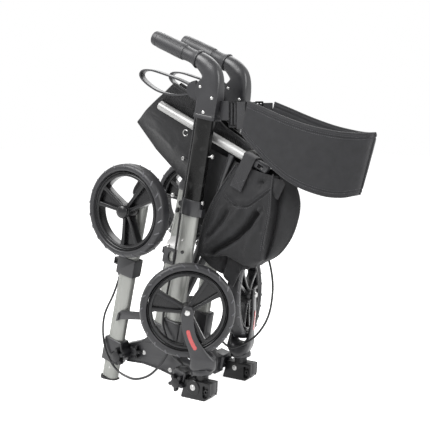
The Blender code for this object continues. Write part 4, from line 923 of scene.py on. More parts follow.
# %% Rim, tyre and hub
WHEEL_RADIUS, TYRE_SEAT = 0.1, 0.084
RIM_HALF = mm(
    (83.7, 9.8), (83.3, 11.3), (82.4, 11.9), (81.5, 11.3), (80.8, 10.2), (79.9, 11.2), (78.8, 12.2),
    (75.8, 12.4), (74.4, 11.8), (73.7, 10.5), (73.1, 6),
)
HUB_HALF = mm((4.4, 16.8), (6.2, 17.2), (10.5, 17.2), (12.2, 16.4), (13.4, 14), (15, 8))
RIB_STATIONS = mm(
    # radius, offset sideways, half width, half depth
    (11.5, 5.2, 4.4, 12.5),
    (20, 7.2, 4, 10.8),
    (35, 10.8, 4, 9.8),
    (52, 14.2, 4.4, 9.8),
    (66, 17.6, 5.2, 10.2),
    (74.5, 20.8, 7, 10.8),
)
TYRE_HALF = (
    # share of the tyre's depth, share of its half width
    (0.0, 0.58), (0.045, 0.62), (0.085, 0.84), (0.13, 0.93), (0.22, 0.975), (0.42, 1.0), (0.62, 0.975),
    (0.76, 0.91), (0.87, 0.79), (0.945, 0.6), (0.985, 0.36), (1.0, 0.12),
)
RIBS = smooth_points(RIB_STATIONS, 4)


def mirrored(half):
    """The half profile and its mirror image, as one closed outline."""
    return (*half, *((radius, -height) for radius, height in reversed(half)))


def spokes():
    """Three groups of two flared ribs and the thin recessed web between them, in the wheel's own frame."""
    ribs, webs = [], []
    for group in range(3):
        angle = radians(30 + 120 * group)
        out = Vector((cos(angle), sin(angle), 0))
        across = Vector((-out.y, out.x, 0))
        for way in (-1, 1):
            ribs.append(skin([
                oval(out * radius + across * (offset * way), across, Z_WAY, width, depth, 6, 20, 0.5)
                for radius, offset, width, depth in RIBS
            ]))
        webs.append(skin([
            oval(out * radius, across, Z_WAY, offset, 0.0016, 6, 16, 0.5) for radius, offset, _, _ in RIBS
        ]))
    return ribs, webs


def about_stem(swivel):
    """The turn of a caster about its stem."""
    turn = Matrix.Rotation(radians(swivel), 4, "Z")
    return Matrix.Translation(STEM) @ turn @ Matrix.Translation(-STEM)


def make_wheel(kind, side, centre, tyre_half, turn, swivel=0.0):
    """A wheel turned on its axle by some degrees, and swung about its caster's stem."""
    turned = facing(centre, (0, -1, 0), Z_WAY) @ Matrix.Rotation(radians(turn), 4, "Z")
    matrix = about_stem(swivel) @ turned if swivel else turned
    ribs, webs = spokes()
    ring = lathe(mirrored(RIM_HALF), (0, 0, 0), Z_WAY, 96, True)
    hub = lathe(mirrored(HUB_HALF), (0, 0, 0), Z_WAY, 40, True)
    rim = moved(merged(ring, hub, *ribs), matrix)
    body = f"{kind}_wheel"
    side_piece(side, body, f"{body}_rim", rim, GLOSS, 42, f"{kind}_rim")
    side_piece(side, body, f"{body}_webs", moved(merged(*webs), matrix), GLOSS, 42)
    deep = WHEEL_RADIUS - TYRE_SEAT
    profile = [(TYRE_SEAT + share * deep, half * tyre_half) for share, half in TYRE_HALF]
    tyre = moved(lathe(mirrored(profile), (0, 0, 0), Z_WAY, 112, True), matrix)
    side_piece(side, body, f"{body}_tyre", tyre, TYRE, 60, f"{kind}_tyre")
    # The marks get the lighter material: painted glints.
    values = {
        "Count": 22, "Radius": 0.0925, "Thickness": 0.0015, "Material": TREAD_GLINTS,
        "Start": (0.0, -0.002, tyre_half), "Middle": (0.003, 0.0005, tyre_half),
        "End": (0.0062, 0.005, tyre_half * 0.72),
    }
    marks = grown(f"{side}_{body}_marks", bmesh.new(), MARK_TREE, values)
    stand(marks, side, matrix, f"{side}_{body}")


# %% Four wheels
AXLE_HEIGHT, REAR_AXLE_Y = 0.392, 0.12
CASTER_AXLE_HEIGHT, CASTER_TRAIL = 0.189, 0.03
rear_axle = on_line(LEG_POINT, LEG_WAY, AXLE_HEIGHT, REAR_AXLE_Y)
front_axle = Vector((0.0187 - CASTER_TRAIL, -CASTER_Y, CASTER_AXLE_HEIGHT))
for side in SIDES:
    make_wheel("rear", side, rear_axle, 0.0175, turn=6)
    make_wheel("front", side, front_axle, 0.015, turn=12, swivel=SWIVEL[side])
print("4 wheels with", 2 * 3, "ribs each")

# %% [markdown]
# Handles. The head is a moulded elbow: round where it meets the grip, flat-sided where it holds the tube and
# the lever's pivot. Sculpting it would lose the pivot's place, so it is lofted through sections between its
# front and back edges, which are drawn as two curves.

# %% Handle heads
POST_FRONT = POST_POINT + POST_WAY * 0.0003
HEAD_HALF, HEAD_FRONT, LEVER_WIDTH = HEIGHT_WIDTH / 2 + 0.0018, 0.006, 0.016
GRIP_START = Vector((-0.0015, 0, 0.7055))
GRIP_UP = Vector((GRIP_WAY.z, 0, -GRIP_WAY.x))
PIVOT = Vector((-0.0145, 0, 0.645))
EAR = mm((14, 19), (0, 16), (-8.5, 10), (-12, 0), (-8.5, -10), (-1, -16.5), (14, -23))


def off(point, x, z):
    return point + Vector((x, 0, z))


def bezier(start, first, second, end, count):
    points = []
    for index in range(count + 1):
        t = index / count
        s = 1 - t
        points.append(s**3 * start + 3 * s * s * t * first + 3 * s * t * t * second + t**3 * end)
    return points


def elbow():
    """The head's rings from the tube to the grip, each between a front and a back point."""
    front = POST_FRONT + ACROSS_POST * (HEAD_HALF + HEAD_FRONT)
    back = POST_FRONT - ACROSS_POST * HEAD_HALF
    top, low = GRIP_START + GRIP_UP * 0.0168, GRIP_START - GRIP_UP * 0.0168
    outer = bezier(front, front + POST_WAY * 0.083, top - GRIP_WAY * 0.064, top, 20)
    inner = smooth_points([
        back, back + POST_WAY * 0.03, off(PIVOT, 0.003, -0.008), off(PIVOT, 0.004, 0.008),
        off(GRIP_START, 0.008, -0.04), off(GRIP_START, 0.003, -0.027), low,
    ], 8)
    rings = []
    for index, point in enumerate(outer):
        share = index / 20
        facing_point = inner[min(len(inner) - 1, round(len(inner) * share))]
        middle = (point + facing_point) / 2
        middle.y = -POST_Y
        half = (point - facing_point) / 2
        power = 7.0 + (2.0 - 7.0) * min(1.0, max(0.0, (share - 0.18) / 0.55)) ** 0.8
        deep = 0.016 + 0.0008 * share
        rings.append(oval(middle, half.normalized(), Y_WAY, half.length, deep, power, 40, 0.5))
    first = [point + (sum(rings[0], Vector()) / len(rings[0]) - point) * 0.05 for point in rings[0]]
    start = [point - POST_WAY * 0.001 for point in first]
    neck = [point + GRIP_WAY * 0.0022 for point in rings[-1]]
    return [start, *rings, neck]


def make_head(side):
    """The elbow, two ears that hold the lever, their pin, and a skirt round the tube."""
    slot = LEVER_WIDTH / 2 + 0.0006
    outline = outline_of(smooth_points([off(PIVOT, x, z) for x, z in EAR], 4))
    ears = [plate(outline, -POST_Y + a, -POST_Y + b, 0.0016) for a, b in ((-0.0156, -slot), (slot, 0.0156))]
    pin, reach = PIVOT + Vector((0, -POST_Y, 0)), Vector((0, 0.015, 0))
    rings = []
    for height, more in ((-0.003, 0.0006), (-0.0028, 0.0012), (0.0045, 0.0014), (0.0055, 0.0008)):
        point = POST_FRONT + POST_WAY * height
        middle = Vector((point.x, -POST_Y, point.z)) + ACROSS_POST * (HEAD_FRONT / 2)
        half = HEAD_HALF + HEAD_FRONT / 2 + more - 0.0008
        rings.append(oval(middle, ACROSS_POST, Y_WAY, half, 0.0156 + more, 7.0, 40, 0.5))
    head = merged(skin(elbow()), *ears, tube([pin - reach, pin + reach], 0.0024, 12), skin(rings))
    side_piece(side, "handle", "head_moulding", head, SATIN, 50, "handle_head")


for side in SIDES:
    make_head(side)
print("handle heads")

# %% [markdown]
# Grips. A soft rubber sleeve is turned from its profile, with a flange at the head and a wrapped seam, and
# its middle is swelled a little where the palm rests. Small anti-slip pips stand in short rows on its upper
# half. A bump would give the pips no outline, and one by one they would be 144 objects, so a tree rolls a
# flat grid round the sleeve and sets a low dome on each of its points.


# %% Grip pips
def pip_tree():
    """Rows of low domes round part of a sleeve. The sleeve's axis is Z and its palm side is +X."""
    tree, entry, leave = new_tree(
        "grip pips", Rows="Int", Columns="Int", Radius="Float", Start="Float", Length="Float", Arc="Float",
        Pip="Vector",
    )
    grid = step(tree, "MeshGrid", {
        "Size X": entry["Length"], "Size Y": entry["Arc"],
        "Vertices X": entry["Columns"], "Vertices Y": entry["Rows"],
    })["Mesh"]
    flat = add(tree, "SeparateXYZ", {0: step(tree, "InputPosition")[0]})
    x, y = (times(tree, math_node(tree, wave, flat["Y"]), entry["Radius"]) for wave in ("COSINE", "SINE"))
    middle = math_node(tree, "ADD", entry["Start"], times(tree, entry["Length"], 0.5))
    height = math_node(tree, "ADD", flat["X"], middle)
    spot = add(tree, "CombineXYZ", {"X": x, "Y": y, "Z": height})[0]
    rolled = step(tree, "SetPosition", {"Geometry": grid, "Position": spot})[0]
    here = step(tree, "InputPosition")[0]
    out = add(tree, "VectorMath", {0: here, 1: (1, 1, 0)}, operation="MULTIPLY")[0]
    ball = step(tree, "MeshIcoSphere", {"Radius": 1.0, "Subdivisions": 2})["Mesh"]
    turn = turned_to(tree, out, "Z")
    inputs = {"Points": rolled, "Instance": ball, "Rotation": turn, "Scale": entry["Pip"]}
    return close_tree(tree, leave, step(tree, "InstanceOnPoints", inputs)[0], entry)


PIP_TREE = pip_tree()
print("pip tree ready")

# %% Grips
GRIP_PROFILE = mm(
    (0.1, 0), (18.6, 0), (19.3, 0.8), (19.3, 2.8), (18.4, 3.8), (17.8, 6.2), (16, 10.5), (14.7, 15),
    (14.3, 23), (14.5, 33), (15, 36.5), (15.2, 37.8), (14.7, 38.4), (14.7, 39.2), (15.8, 39.8), (16.2, 41),
    (16, 60), (15.6, 85), (15.8, 108), (16, 112.8), (15.3, 113.4), (15.3, 114.2), (15.9, 114.8),
    (15.7, 122), (14.6, 125.6), (12, 127), (0.1, 127.3),
)


def swell(sleeve):
    """Make the sleeve a little oval and wavy between its two seams."""
    for vert in sleeve.verts:
        flat = Vector((vert.co.x, vert.co.y))
        if flat.length > 0.004 and 0.04 < vert.co.z < 0.112:
            angle = atan2(vert.co.y, vert.co.x)
            more = 0.0005 * cos(2 * angle) + 0.0004 * sin(2 * pi * vert.co.z / 0.026)
            vert.co.x *= 1 + more / flat.length
            vert.co.y *= 1 + more / flat.length


def make_grip(side):
    start = GRIP_START + Vector((0, -POST_Y, 0)) + GRIP_WAY * 0.0003
    matrix = facing(start, GRIP_WAY)
    sleeve = lathe(GRIP_PROFILE, (0, 0, 0), Z_WAY, 56)
    swell(sleeve)
    side_piece(side, "handle", "grip_sleeve", moved(sleeve, matrix), RUBBER, 32, "grip")
    upward = matrix.to_3x3().inverted() @ GRIP_UP
    palm = atan2(upward.y, upward.x)
    values = {
        "Rows": 9, "Columns": 16, "Radius": 0.016, "Start": 0.048, "Length": 0.058, "Arc": 1.9,
        "Pip": (0.0011, 0.0011, 0.0007), "Material": RUBBER,
    }
    pips = grown(f"{side}_grip_pips", bmesh.new(), PIP_TREE, values)
    stand(pips, side, matrix @ Matrix.Rotation(palm, 4, "Z"), f"{side}_handle")


for side in SIDES:
    make_grip(side)
print("grips")

# %% [markdown]
# Front casters. The fork is one smooth moulding: two blades that curve forward and down into a swollen
# crown. It is lofted along a U-shaped path through its own thickness, so it has no seam where blade and
# crown meet.

# %% Caster forks
FORK_STATIONS = (
    # place across the wheel, height, place along, half width, half thickness, turn of the section in degrees
    (0.0215, 0.2014, -0.0113, 0.0035, 0.0026, 0),
    (0.0215, 0.199, -0.0113, 0.0085, 0.003, 0),
    (0.0215, 0.189, -0.0113, 0.0126, 0.003, 0),
    (0.0215, 0.17, -0.0112, 0.0128, 0.003, 0),
    (0.0215, 0.148, -0.0085, 0.0132, 0.0031, 0),
    (0.0214, 0.128, -0.002, 0.0142, 0.0033, 0),
    (0.0212, 0.11, 0.007, 0.0172, 0.004, 2),
    (0.0206, 0.096, 0.0145, 0.0212, 0.0058, 8),
    (0.019, 0.086, 0.0205, 0.0262, 0.009, 25),
    (0.0138, 0.0762, 0.02, 0.0276, 0.0122, 52),
    (0.0066, 0.0715, 0.0198, 0.0276, 0.0144, 76),
    (0.0, 0.0703, 0.0196, 0.0274, 0.0148, 90),
)
SKIRT = mm((0.1, 53), (21.2, 53), (22.6, 53.8), (23.2, 56), (23.2, 60.5), (21.5, 65), (0.1, 65))
STUD = mm((0.1, 26), (5.6, 26), (6, 26.6), (6, 54), (0.1, 54))
STRIP_LINE = mm((-10, 0, 149), (-6.5, 0, 137), (-1.5, 0, 124.5), (4, 0, 114))


def make_fork(side):
    half = smooth_points(FORK_STATIONS, 3)
    rows = [(1, row) for row in half] + [(-1, row) for row in reversed(half[:-1])]
    rings = []
    for way, (across, up, along, wide, thick, turn) in rows:
        angle = radians(turn if way > 0 else 180 - turn)
        deep = Vector((0, -cos(angle), -sin(angle)))
        middle = Vector((along, -CASTER_Y - way * across, up))
        rings.append(oval(middle, X_WAY, deep, wide, thick, 3.4, 36, 0.5))
    fork = merged(skin(rings), lathe(SKIRT, STEM, Z_WAY, 48), lathe(STUD, STEM, Z_WAY, 24))
    fork = moved(fork, about_stem(SWIVEL[side]))
    side_piece(side, "fork", "fork_moulding", fork, SATIN, 50, "caster_fork")


def offset_strip(points, half):
    """A strip outline of even width along points, with round ends."""
    ways = ways_along(points)
    normals = [Vector((way.z, 0, -way.x)) for way in ways]
    left, right = ([p + n * (half * sign) for p, n in zip(points, normals)] for sign in (1, -1))
    ends = []
    for point, way, normal in ((points[-1], ways[-1], normals[-1]), (points[0], -ways[0], -normals[0])):
        turns = [radians(angle) for angle in (30, 60, 90, 120, 150)]
        ends.append([point + normal * (half * cos(t)) + way * (half * sin(t)) for t in turns])
    return outline_of((*left, *ends[0], *right[::-1], *ends[1]))


def make_reflector(side):
    face = -CASTER_Y - 0.0243
    strip = plate(offset_strip(smooth_points(STRIP_LINE, 5), 0.004), face - 0.0016, face, 0.0005)
    side_piece(side, "fork", "red_strip", moved(strip, about_stem(SWIVEL[side])), RED, 40, "fork_reflector")


print(len(FORK_STATIONS), "sections from axle to crown")

# %% [markdown]
# The block over each fork holds its stem and folds up with it. It has a rounded pivot boss and, on both
# faces, a recess with a hexagonal boss and four ribs. The recess is a hole in the outer plates only, so no
# boolean is needed.

# %% Caster blocks
BLOCK_OUTLINE = mm((-23.2, 0), (37, 0), (47, 9), (50.5, 15), (51.5, 40), (50, 40), (45, 40), (-12, 40))
RECESS = mm((33, 7), (41, 7), (46.2, 13.5), (47, 33), (33, 33))
HEX_BOSS = mm((0.1, 0), (6.2, 0), (6, 4.4), (5.4, 5), (3, 5), (2.7, 4.4), (2.7, 1.2), (0.1, 1.2))
PIVOT_DISC = mm((0.1, -2), (16, -2), (16, 1.6), (15, 2.6), (8, 2.6), (7.4, 1.8), (0.1, 1.8))
STEM_BOSS = mm((6.8, 40), (14, 40), (14, 51.6), (13.1, 52.4), (7.5, 52.4), (6.8, 51.6))
FLIP_WAY = Vector((0.974, 0, -0.2267))


def make_block(side):
    outer, inner = -CASTER_Y - 0.019, -CASTER_Y + 0.012
    recess = rounded_outline(RECESS, 0.003)
    outline = rounded_outline(BLOCK_OUTLINE, 0.003)
    parts = [
        panel(outline, [recess], outer, outer + 0.006, 0.0009),
        panel(outline, [], outer + 0.0055, inner - 0.0055, 0.0009),
        panel(outline, [recess], inner - 0.006, inner, 0.0009),
    ]
    for face, way in ((outer + 0.0062, -1), (inner - 0.0062, 1)):
        spot = Vector((0.04, face, 0.02))
        parts.append(lathe(HEX_BOSS, spot, (0, way, 0), 6))
        for angle in (40, 140, 220, 320):
            out = Vector((cos(radians(angle)), 0, sin(radians(angle))))
            rib = spot + out * 0.0095 + Vector((0, way * 0.0018, 0))
            parts.append(bar(rib, (0.0012, 0.0036, 0.0095), out, bevel=0.0002, segments=1))
    parts.append(lathe(PIVOT_DISC, Vector((0.009, outer, 0.0262)), (0, -1, 0), 48))
    parts.append(lathe(STEM_BOSS, STEM, Z_WAY, 40, True))
    flip = STEM + Vector((0, 0, 0.03)) - FLIP_WAY * 0.034
    parts.append(tube([flip + Vector((0.006, 0, -0.0014)), flip - FLIP_WAY * 0.0195], 0.0049, 20))
    side_piece(side, "caster_mount", "block_moulding", merged(*parts), BLOCK, 34, "caster_block")


for side in SIDES:
    for make in (make_fork, make_reflector, make_block):
        make(side)
print("casters")

# %% [markdown]
# Frame tubes. The posts and legs are drawn oval tubes. The leg has two shallow grooves along its outer face,
# which catch the light as long lines, so they are cut into the mesh and not painted. Each tube is lofted as
# a closed wall, so its open end shows its thickness.


# %% Frame tubes
def groove(u, half):
    """Depth of the leg's two grooves at a place across its face."""
    return sum(0.0011 * exp(-(((u - middle) / 0.0011) ** 2)) for middle in (-0.45 * half, -0.12 * half))


def oval_wall(low, high, width, depth, wall, across, grooved=False):
    rings = []
    for end, shrink in ((low, 0), (high, 0), (high, wall), (low, wall)):
        ring = []
        section = oval(Vector(), X_WAY, Y_WAY, width / 2 - shrink, depth / 2 - shrink, 2.6, 96, 0.5)
        for point in section:
            u, v = point.x, point.y
            if grooved and not shrink and abs(v) > depth * 0.38:
                v -= copysign(groove(u, width / 2), v)
            ring.append(end + across * u + Vector((0, v, 0)))
        rings.append(ring)
    return skin(rings, closed=True)


def make_tubes(side):
    low = on_line(LEG_POINT, LEG_WAY, 0.0052, LEG_Y)
    high = on_line(LEG_POINT, LEG_WAY, AXLE_HEIGHT, LEG_Y) + LEG_WAY * 0.036
    leg = oval_wall(low, high, LEG_WIDTH, LEG_DEPTH, 0.002, ACROSS_LEG, grooved=True)
    # The leg wears the darker champagne: painted shade.
    side_piece(side, "leg", "leg_tube", leg, SHADED_CHAMPAGNE_LEG, 50, "rear_leg")
    low = on_line(POST_POINT, POST_WAY, 0.152, POST_Y) - POST_WAY * 0.05
    high = on_line(POST_POINT, POST_WAY, 0.574, POST_Y)
    post = oval_wall(low, high, POST_WIDTH, POST_DEPTH, 0.002, ACROSS_POST)
    side_piece(side, "frame", "post_oval", post, CHAMPAGNE_POST, 50, "post_tube")
    top = Vector((POST_POINT.x, -POST_Y, POST_POINT.z))
    slide = oval_wall(top - POST_WAY * 0.206, top, HEIGHT_WIDTH, HEIGHT_DEPTH, 0.0018, ACROSS_POST)
    side_piece(side, "handle", "height_oval", slide, BLACK_TUBE, 50, "height_tube")


RAIL_POINT = Vector((-0.0326, 0, 0.57))


def make_rail(side):
    middle = RAIL_POINT - Vector((0, RAIL_Y, 0))
    start, end = middle - RAIL_WAY * 0.102, middle + RAIL_WAY * 0.142
    wall = ((start, 0.01), (end, 0.01), (end, 0.0086), (start, 0.0086))
    rings = [oval(point, SEAT_UP, Y_WAY, radius, radius, 2.0, 48) for point, radius in wall]
    rail = new_piece(f"{side}_rail_tube", skin(rings, closed=True), BRIGHT, BRACES[side], side, 50)
    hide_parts(f"{side}_seat_rail")


for side in SIDES:
    make_tubes(side)
    make_rail(side)
print("tubes")

# %% [markdown]
# Leg fittings: the foot cap, the brake housing with its oval window and cable ferrule, the flared cap on the
# leg's top, the clip bar and, on the inner face, the brake plate and its wire. They are mouldings and
# pressings of even thickness, so plates with holes, bars and turned parts are joined into one piece for
# each.


# %% Brake housing and foot
def leg_at(z, across=0.0, y=LEG_Y):
    return on_line(LEG_POINT, LEG_WAY, z, y) + ACROSS_LEG * across


def make_brake(side):
    half, shell = LEG_WIDTH / 2 + 0.0034, LEG_DEPTH / 2 + 0.0004
    low, high = BRAKE_LOW, BRAKE_HIGH + 0.003
    corners = outline_of((leg_at(low, -half), leg_at(low, half), leg_at(high, half), leg_at(high, -half)))
    outline = rounded_outline(corners, 0.004)
    centre = leg_at((low + high) / 2)
    window = circle_outline(centre.x, centre.z, 0.0085, 28, 1.45, LEG_WAY)
    parts = [
        panel(outline, [], -LEG_Y - shell - 0.003, -LEG_Y - shell, 0.0009),
        panel(outline, [window], -LEG_Y + shell, -LEG_Y + shell + 0.003, 0.0009),
    ]
    for way in (-1, 1):
        middle = leg_at((low + high) / 2, way * (LEG_WIDTH / 2 + 0.0018))
        size = (0.003, 2 * shell + 0.004, (high - low) / LEG_WAY.z)
        parts.append(bar(middle, size, LEG_WAY, bevel=0.0012))
    ferrule = ferrule_low + LEG_WAY * 0.0003
    parts.append(tube([ferrule, ferrule + LEG_WAY * 0.018], 0.0034, 20))
    bracket = ((0.262, 0.006, 0.015, 0.003), (0.2745, 0.006, 0.015, 0.003), (0.2683, 0.0125, 0.003, 0.015))
    for height, reach, wide, tall in bracket:
        middle = leg_at(height, -half - reach, LEG_Y + 0.004)
        parts.append(bar(middle, (wide, 0.012, tall), LEG_WAY, bevel=0.0008))
    side_piece(side, "leg", "brake_moulding", merged(*parts), SATIN, 40, "brake_housing")
    low, high = ferrule - LEG_WAY * 0.0002, ferrule + LEG_WAY * 0.0045
    wall = ((low, 0.0028), (low, 0.0039), (high, 0.0039), (high, 0.0028))
    rings = [oval(point, ACROSS_LEG, Y_WAY, radius, radius, 2, 20) for point, radius in wall]
    side_piece(side, "leg", "cable_ferrule", skin(rings, closed=True), STEEL, 40)


FOOT_WIDE, FOOT_DEEP = 0.0228, 0.0142
LEG_TOP = (
    # distance along the leg, share of its half width
    (-0.006, 1.08), (-0.005, 1.12), (0.0, 1.13), (0.008, 1.05), (0.02, 0.8), (0.03, 0.66), (0.0345, 0.6),
    (0.0355, 0.4),
)


def make_foot(side):
    rings = []
    for wide, height in ((0.0001, 0.0001), (0.018, 0.0001), (0.0224, 0.0008), (FOOT_WIDE, 0.002)):
        half = wide / FOOT_WIDE
        middle = Vector((-0.2315, -LEG_Y, 0)) + LEG_WAY * (height / LEG_WAY.z)
        middle.z = height
        rings.append(oval(middle, X_WAY, Y_WAY, FOOT_WIDE * half, FOOT_DEEP * half, 2.8, 48, 0.5))
    for height, half in ((0.0042, 1.0), (0.005, 0.97), (0.005, 0.905), (0.0035, 0.9)):
        middle = on_line(LEG_POINT, LEG_WAY, height, LEG_Y)
        rings.append(oval(middle, ACROSS_LEG, Y_WAY, FOOT_WIDE * half, FOOT_DEEP * half, 2.8, 48, 0.5))
    side_piece(side, "leg", "foot_cap", skin(rings), KNOB, 40, "leg_foot")


def make_leg_top(side):
    top = leg_at(AXLE_HEIGHT) + LEG_WAY * 0.036
    rings = [
        oval(top + LEG_WAY * height, ACROSS_LEG, Y_WAY, 0.02 * half, 0.0115 * half, 2.6, 40, 0.5)
        for height, half in LEG_TOP
    ]
    side_piece(side, "leg", "leg_cap", skin(rings), SATIN, 40)


# %% Clip bar, brake plate and axle cap
CLIP_BAR = mm((-197.5, 140), (-191.5, 160), (-183.5, 165.5), (-108, 171.5), (-108, 154.5), (-184, 146))
CLIP_LIP = mm((-196.5, 141), (-190.5, 160), (-186, 159), (-190.5, 142.5))
BRAKE_PLATE = mm((-21.5, -17), (12, -15), (19, 4), (15, 20), (-6, 17), (-20, 3))
WIRE_BALL = mm((0.1, -3.6), (2.2, -3), (3.4, -1.2), (3.6, 0), (3.4, 1.2), (2.2, 3), (0.1, 3.6))
AXLE_CAP = mm(
    (0.1, -52), (6.6, -51.8), (7.2, -49), (4, -48.6), (4, -24), (9, -24), (9, -17.6), (4, -17.6), (4, 17.6),
    (13.2, 17.6), (14.6, 18.6), (15, 20.6), (14.6, 22.8), (13.2, 25.2), (10.8, 27.2), (7.6, 28.6),
    (4, 29.3), (0.1, 29.5),
)


def make_clip_bar(side):
    """The flat bar that clips on the leg and reaches forward behind the caster."""
    flat = panel(rounded_outline(CLIP_BAR, 0.0025), [], -LEG_Y - 0.0155, -LEG_Y - 0.0121)
    lip = panel(rounded_outline(CLIP_LIP, 0.001), [], -LEG_Y - 0.018, -LEG_Y - 0.015)
    side_piece(side, "leg", "clip_bar", merged(flat, lip), SATIN, 40)


def make_brake_plate(side):
    """Inner face of the leg: a thin steel plate, the pull wire, its ball and a guide."""
    face = -LEG_Y + LEG_DEPTH / 2
    centre = leg_at(0.296)
    outline = rounded_outline([(centre.x + x, centre.z + z) for x, z in BRAKE_PLATE], 0.005)
    hole = circle_outline(centre.x - 0.013, centre.z - 0.006, 0.0026, 16)
    flat = panel(outline, [hole], face + 0.0003, face + 0.0021, 0.0003)
    start, end = Vector((-0.1835, face + 0.004, 0.306)), Vector((-0.15, face + 0.004, 0.376))
    middle, way = start.lerp(end, 0.33), (end - start).normalized()
    guide = bar(end, (0.006, 0.008, 0.012), way, bevel=0.0012)
    side_piece(side, "leg", "brake_plate", flat, STEEL)
    side_piece(side, "leg", "brake_wire", tube([start, middle, end], 0.0008, 8), STEEL)
    side_piece(side, "leg", "wire_ball", lathe(WIRE_BALL, middle, way, 16), STEEL)
    side_piece(side, "leg", "wire_guide", guide, SATIN)


def make_axle_cap(side):
    """The rear wheel's bolt with its domed hub cap."""
    side_piece(side, "leg", "axle_bolt", lathe(AXLE_CAP, rear_axle, (0, -1, 0), 48), GLOSS, 40, "rear_axle")


for side in SIDES:
    for make in (make_brake, make_foot, make_leg_top, make_clip_bar, make_brake_plate, make_axle_cap):
        make(side)
print("leg fittings")

# %% [markdown]
# Lower arms keep their solids. A raised border on the outer face gives the stepped moulding, and star knobs
# clamp the leg and the caster. A knob's five lobes could be five spheres, but one outline whose radius waves
# five times gives the smooth valleys between them.

# %% Star knobs and arm borders
ARM_OUT_Y = 0.0685
ARM_EDGE = mm(
    (-206, 47), (-190, 41), (-145, 43), (-100, 37), (-66, 29.5), (-40, 16), (-24.5, 12), (-18, 42),
    (-21, 50), (-52, 70), (-98, 98), (-152, 96), (-203, 80), (-212, 72), (-213, 56),
)


def shrunk(outline, distance):
    """The outline moved inwards by distance."""
    result = []
    count = len(outline)
    for index in range(count):
        before, here, after = (Vector(outline[(index + turn) % count]) for turn in (-1, 0, 1))
        first, second = (here - before).normalized(), (after - here).normalized()
        normal = Vector((-first.y - second.y, first.x + second.x)).normalized()
        result.append(tuple(here + normal * distance))
    return result


def star(centre, radius, turn, steps=90):
    """A five-lobed outline round centre, turned by some degrees."""
    points = []
    for index in range(steps):
        angle = 2 * pi * index / steps
        wave = cos(5 * angle)
        reach = radius * (0.68 + 0.32 * copysign(abs(wave) ** 0.75, wave))
        angle += radians(turn)
        points.append((centre.x + reach * cos(angle), centre.z + reach * sin(angle)))
    return points


def make_knob(side, body, name, centre, radius, thick, shaft, turn, instead_of=None):
    """A star knob that faces outwards at centre, on its shaft."""
    middle = centre - Vector((0, 0.0003, 0))
    hub = (
        (0.0001, -0.0004), (radius * 0.56, -0.0004), (radius * 0.54, 0.0012), (radius * 0.36, 0.0028),
        (0.0001, 0.0032),
    )
    knob = merged(
        panel(star(centre, radius, turn), [], middle.y - thick, middle.y, 0.0016),
        lathe(hub, middle - Y_WAY * thick, (0, -1, 0), 32),
        tube([middle - Y_WAY * (thick / 2), middle + Y_WAY * shaft], 0.0038, 16),
    )
    side_piece(side, body, name, knob, KNOB, 42, instead_of)


def make_arm(side):
    inner, outer = shrunk(ARM_EDGE, 0.0048), shrunk(ARM_EDGE, 0.001)
    border = panel(outer, [inner], -ARM_OUT_Y - 0.0014, -ARM_OUT_Y + 0.0002, 0.0005)
    side_piece(side, "frame", "arm_border", border, SATIN, 40)
    rear = Vector((-0.1911, -LEG_Y - LEG_DEPTH / 2 - 0.003, 0.062))
    front = Vector((-0.0325, -CASTER_Y - 0.016, 0.03))
    middle = Vector((-0.164, -ARM_OUT_Y, 0.07))
    make_knob(side, "rear_clamp", "rear_star", rear, 0.0203, 0.011, -rear.y - 0.039, 20, "rear_knob")
    make_knob(side, "front_clamp", "front_star", front, 0.0195, 0.01, 0.0085, 50, "front_knob")
    make_knob(side, "frame", "arm_star", middle, 0.015, 0.009, 0.004, 0)


for side in SIDES:
    make_arm(side)
print("knobs and arm borders")

# %% [markdown]
# Fasteners: rivets, pan-head screws with washers and plain bolts. There are dozens, so one tree sets a head
# on each point of a guide mesh, turned to the point's facing and scaled to its size, and the table says
# where.


# %% Fastener heads
def fastener_tree():
    tree, entry, leave = new_tree("fasteners", Head="Object")
    head = step(tree, "ObjectInfo", {"Object": entry["Head"]})["Geometry"]
    way = step(tree, "InputNamedAttribute", {"Name": "facing"}, data_type="FLOAT_VECTOR")[0]
    size = step(tree, "InputNamedAttribute", {"Name": "size"}, data_type="FLOAT")[0]
    inputs = {
        "Points": entry["Geometry"], "Instance": head, "Rotation": turned_to(tree, way, "Z"), "Scale": size,
    }
    return close_tree(tree, leave, step(tree, "InstanceOnPoints", inputs)[0], entry)


FASTENER_TREE = fastener_tree()
HEAD_SHAPES = {
    # profiles of radius and height for a head of radius 1
    "rivet": (
        (0.0001, 0.52), (0.3, 0.5), (0.62, 0.4), (0.86, 0.22), (0.98, 0.04), (1.0, -0.15), (0.0001, -0.15),
    ),
    "screw": (
        (0.0001, 0.22), (0.26, 0.22), (0.3, 0.52), (0.6, 0.5), (0.84, 0.38), (0.94, 0.16), (0.96, 0.1),
        (1.25, 0.1), (1.3, 0.04), (1.3, -0.15), (0.0001, -0.15),
    ),
    "bolt": (
        (0.0001, 0.3), (0.42, 0.3), (0.48, 0.72), (0.8, 0.72), (0.92, 0.62), (0.96, 0.2), (0.96, -0.15),
        (0.0001, -0.15),
    ),
}


def pattern(name, bm):
    """A mesh that trees copy, in an object outside the scene."""
    bmesh.ops.recalc_face_normals(bm, faces=bm.faces)
    return bpy.data.objects.new(f"{name}_pattern", mesh_of(name, bm))


HEADS = {kind: pattern(kind, lathe(shape, (0, 0, 0), Z_WAY, 20)) for kind, shape in HEAD_SHAPES.items()}


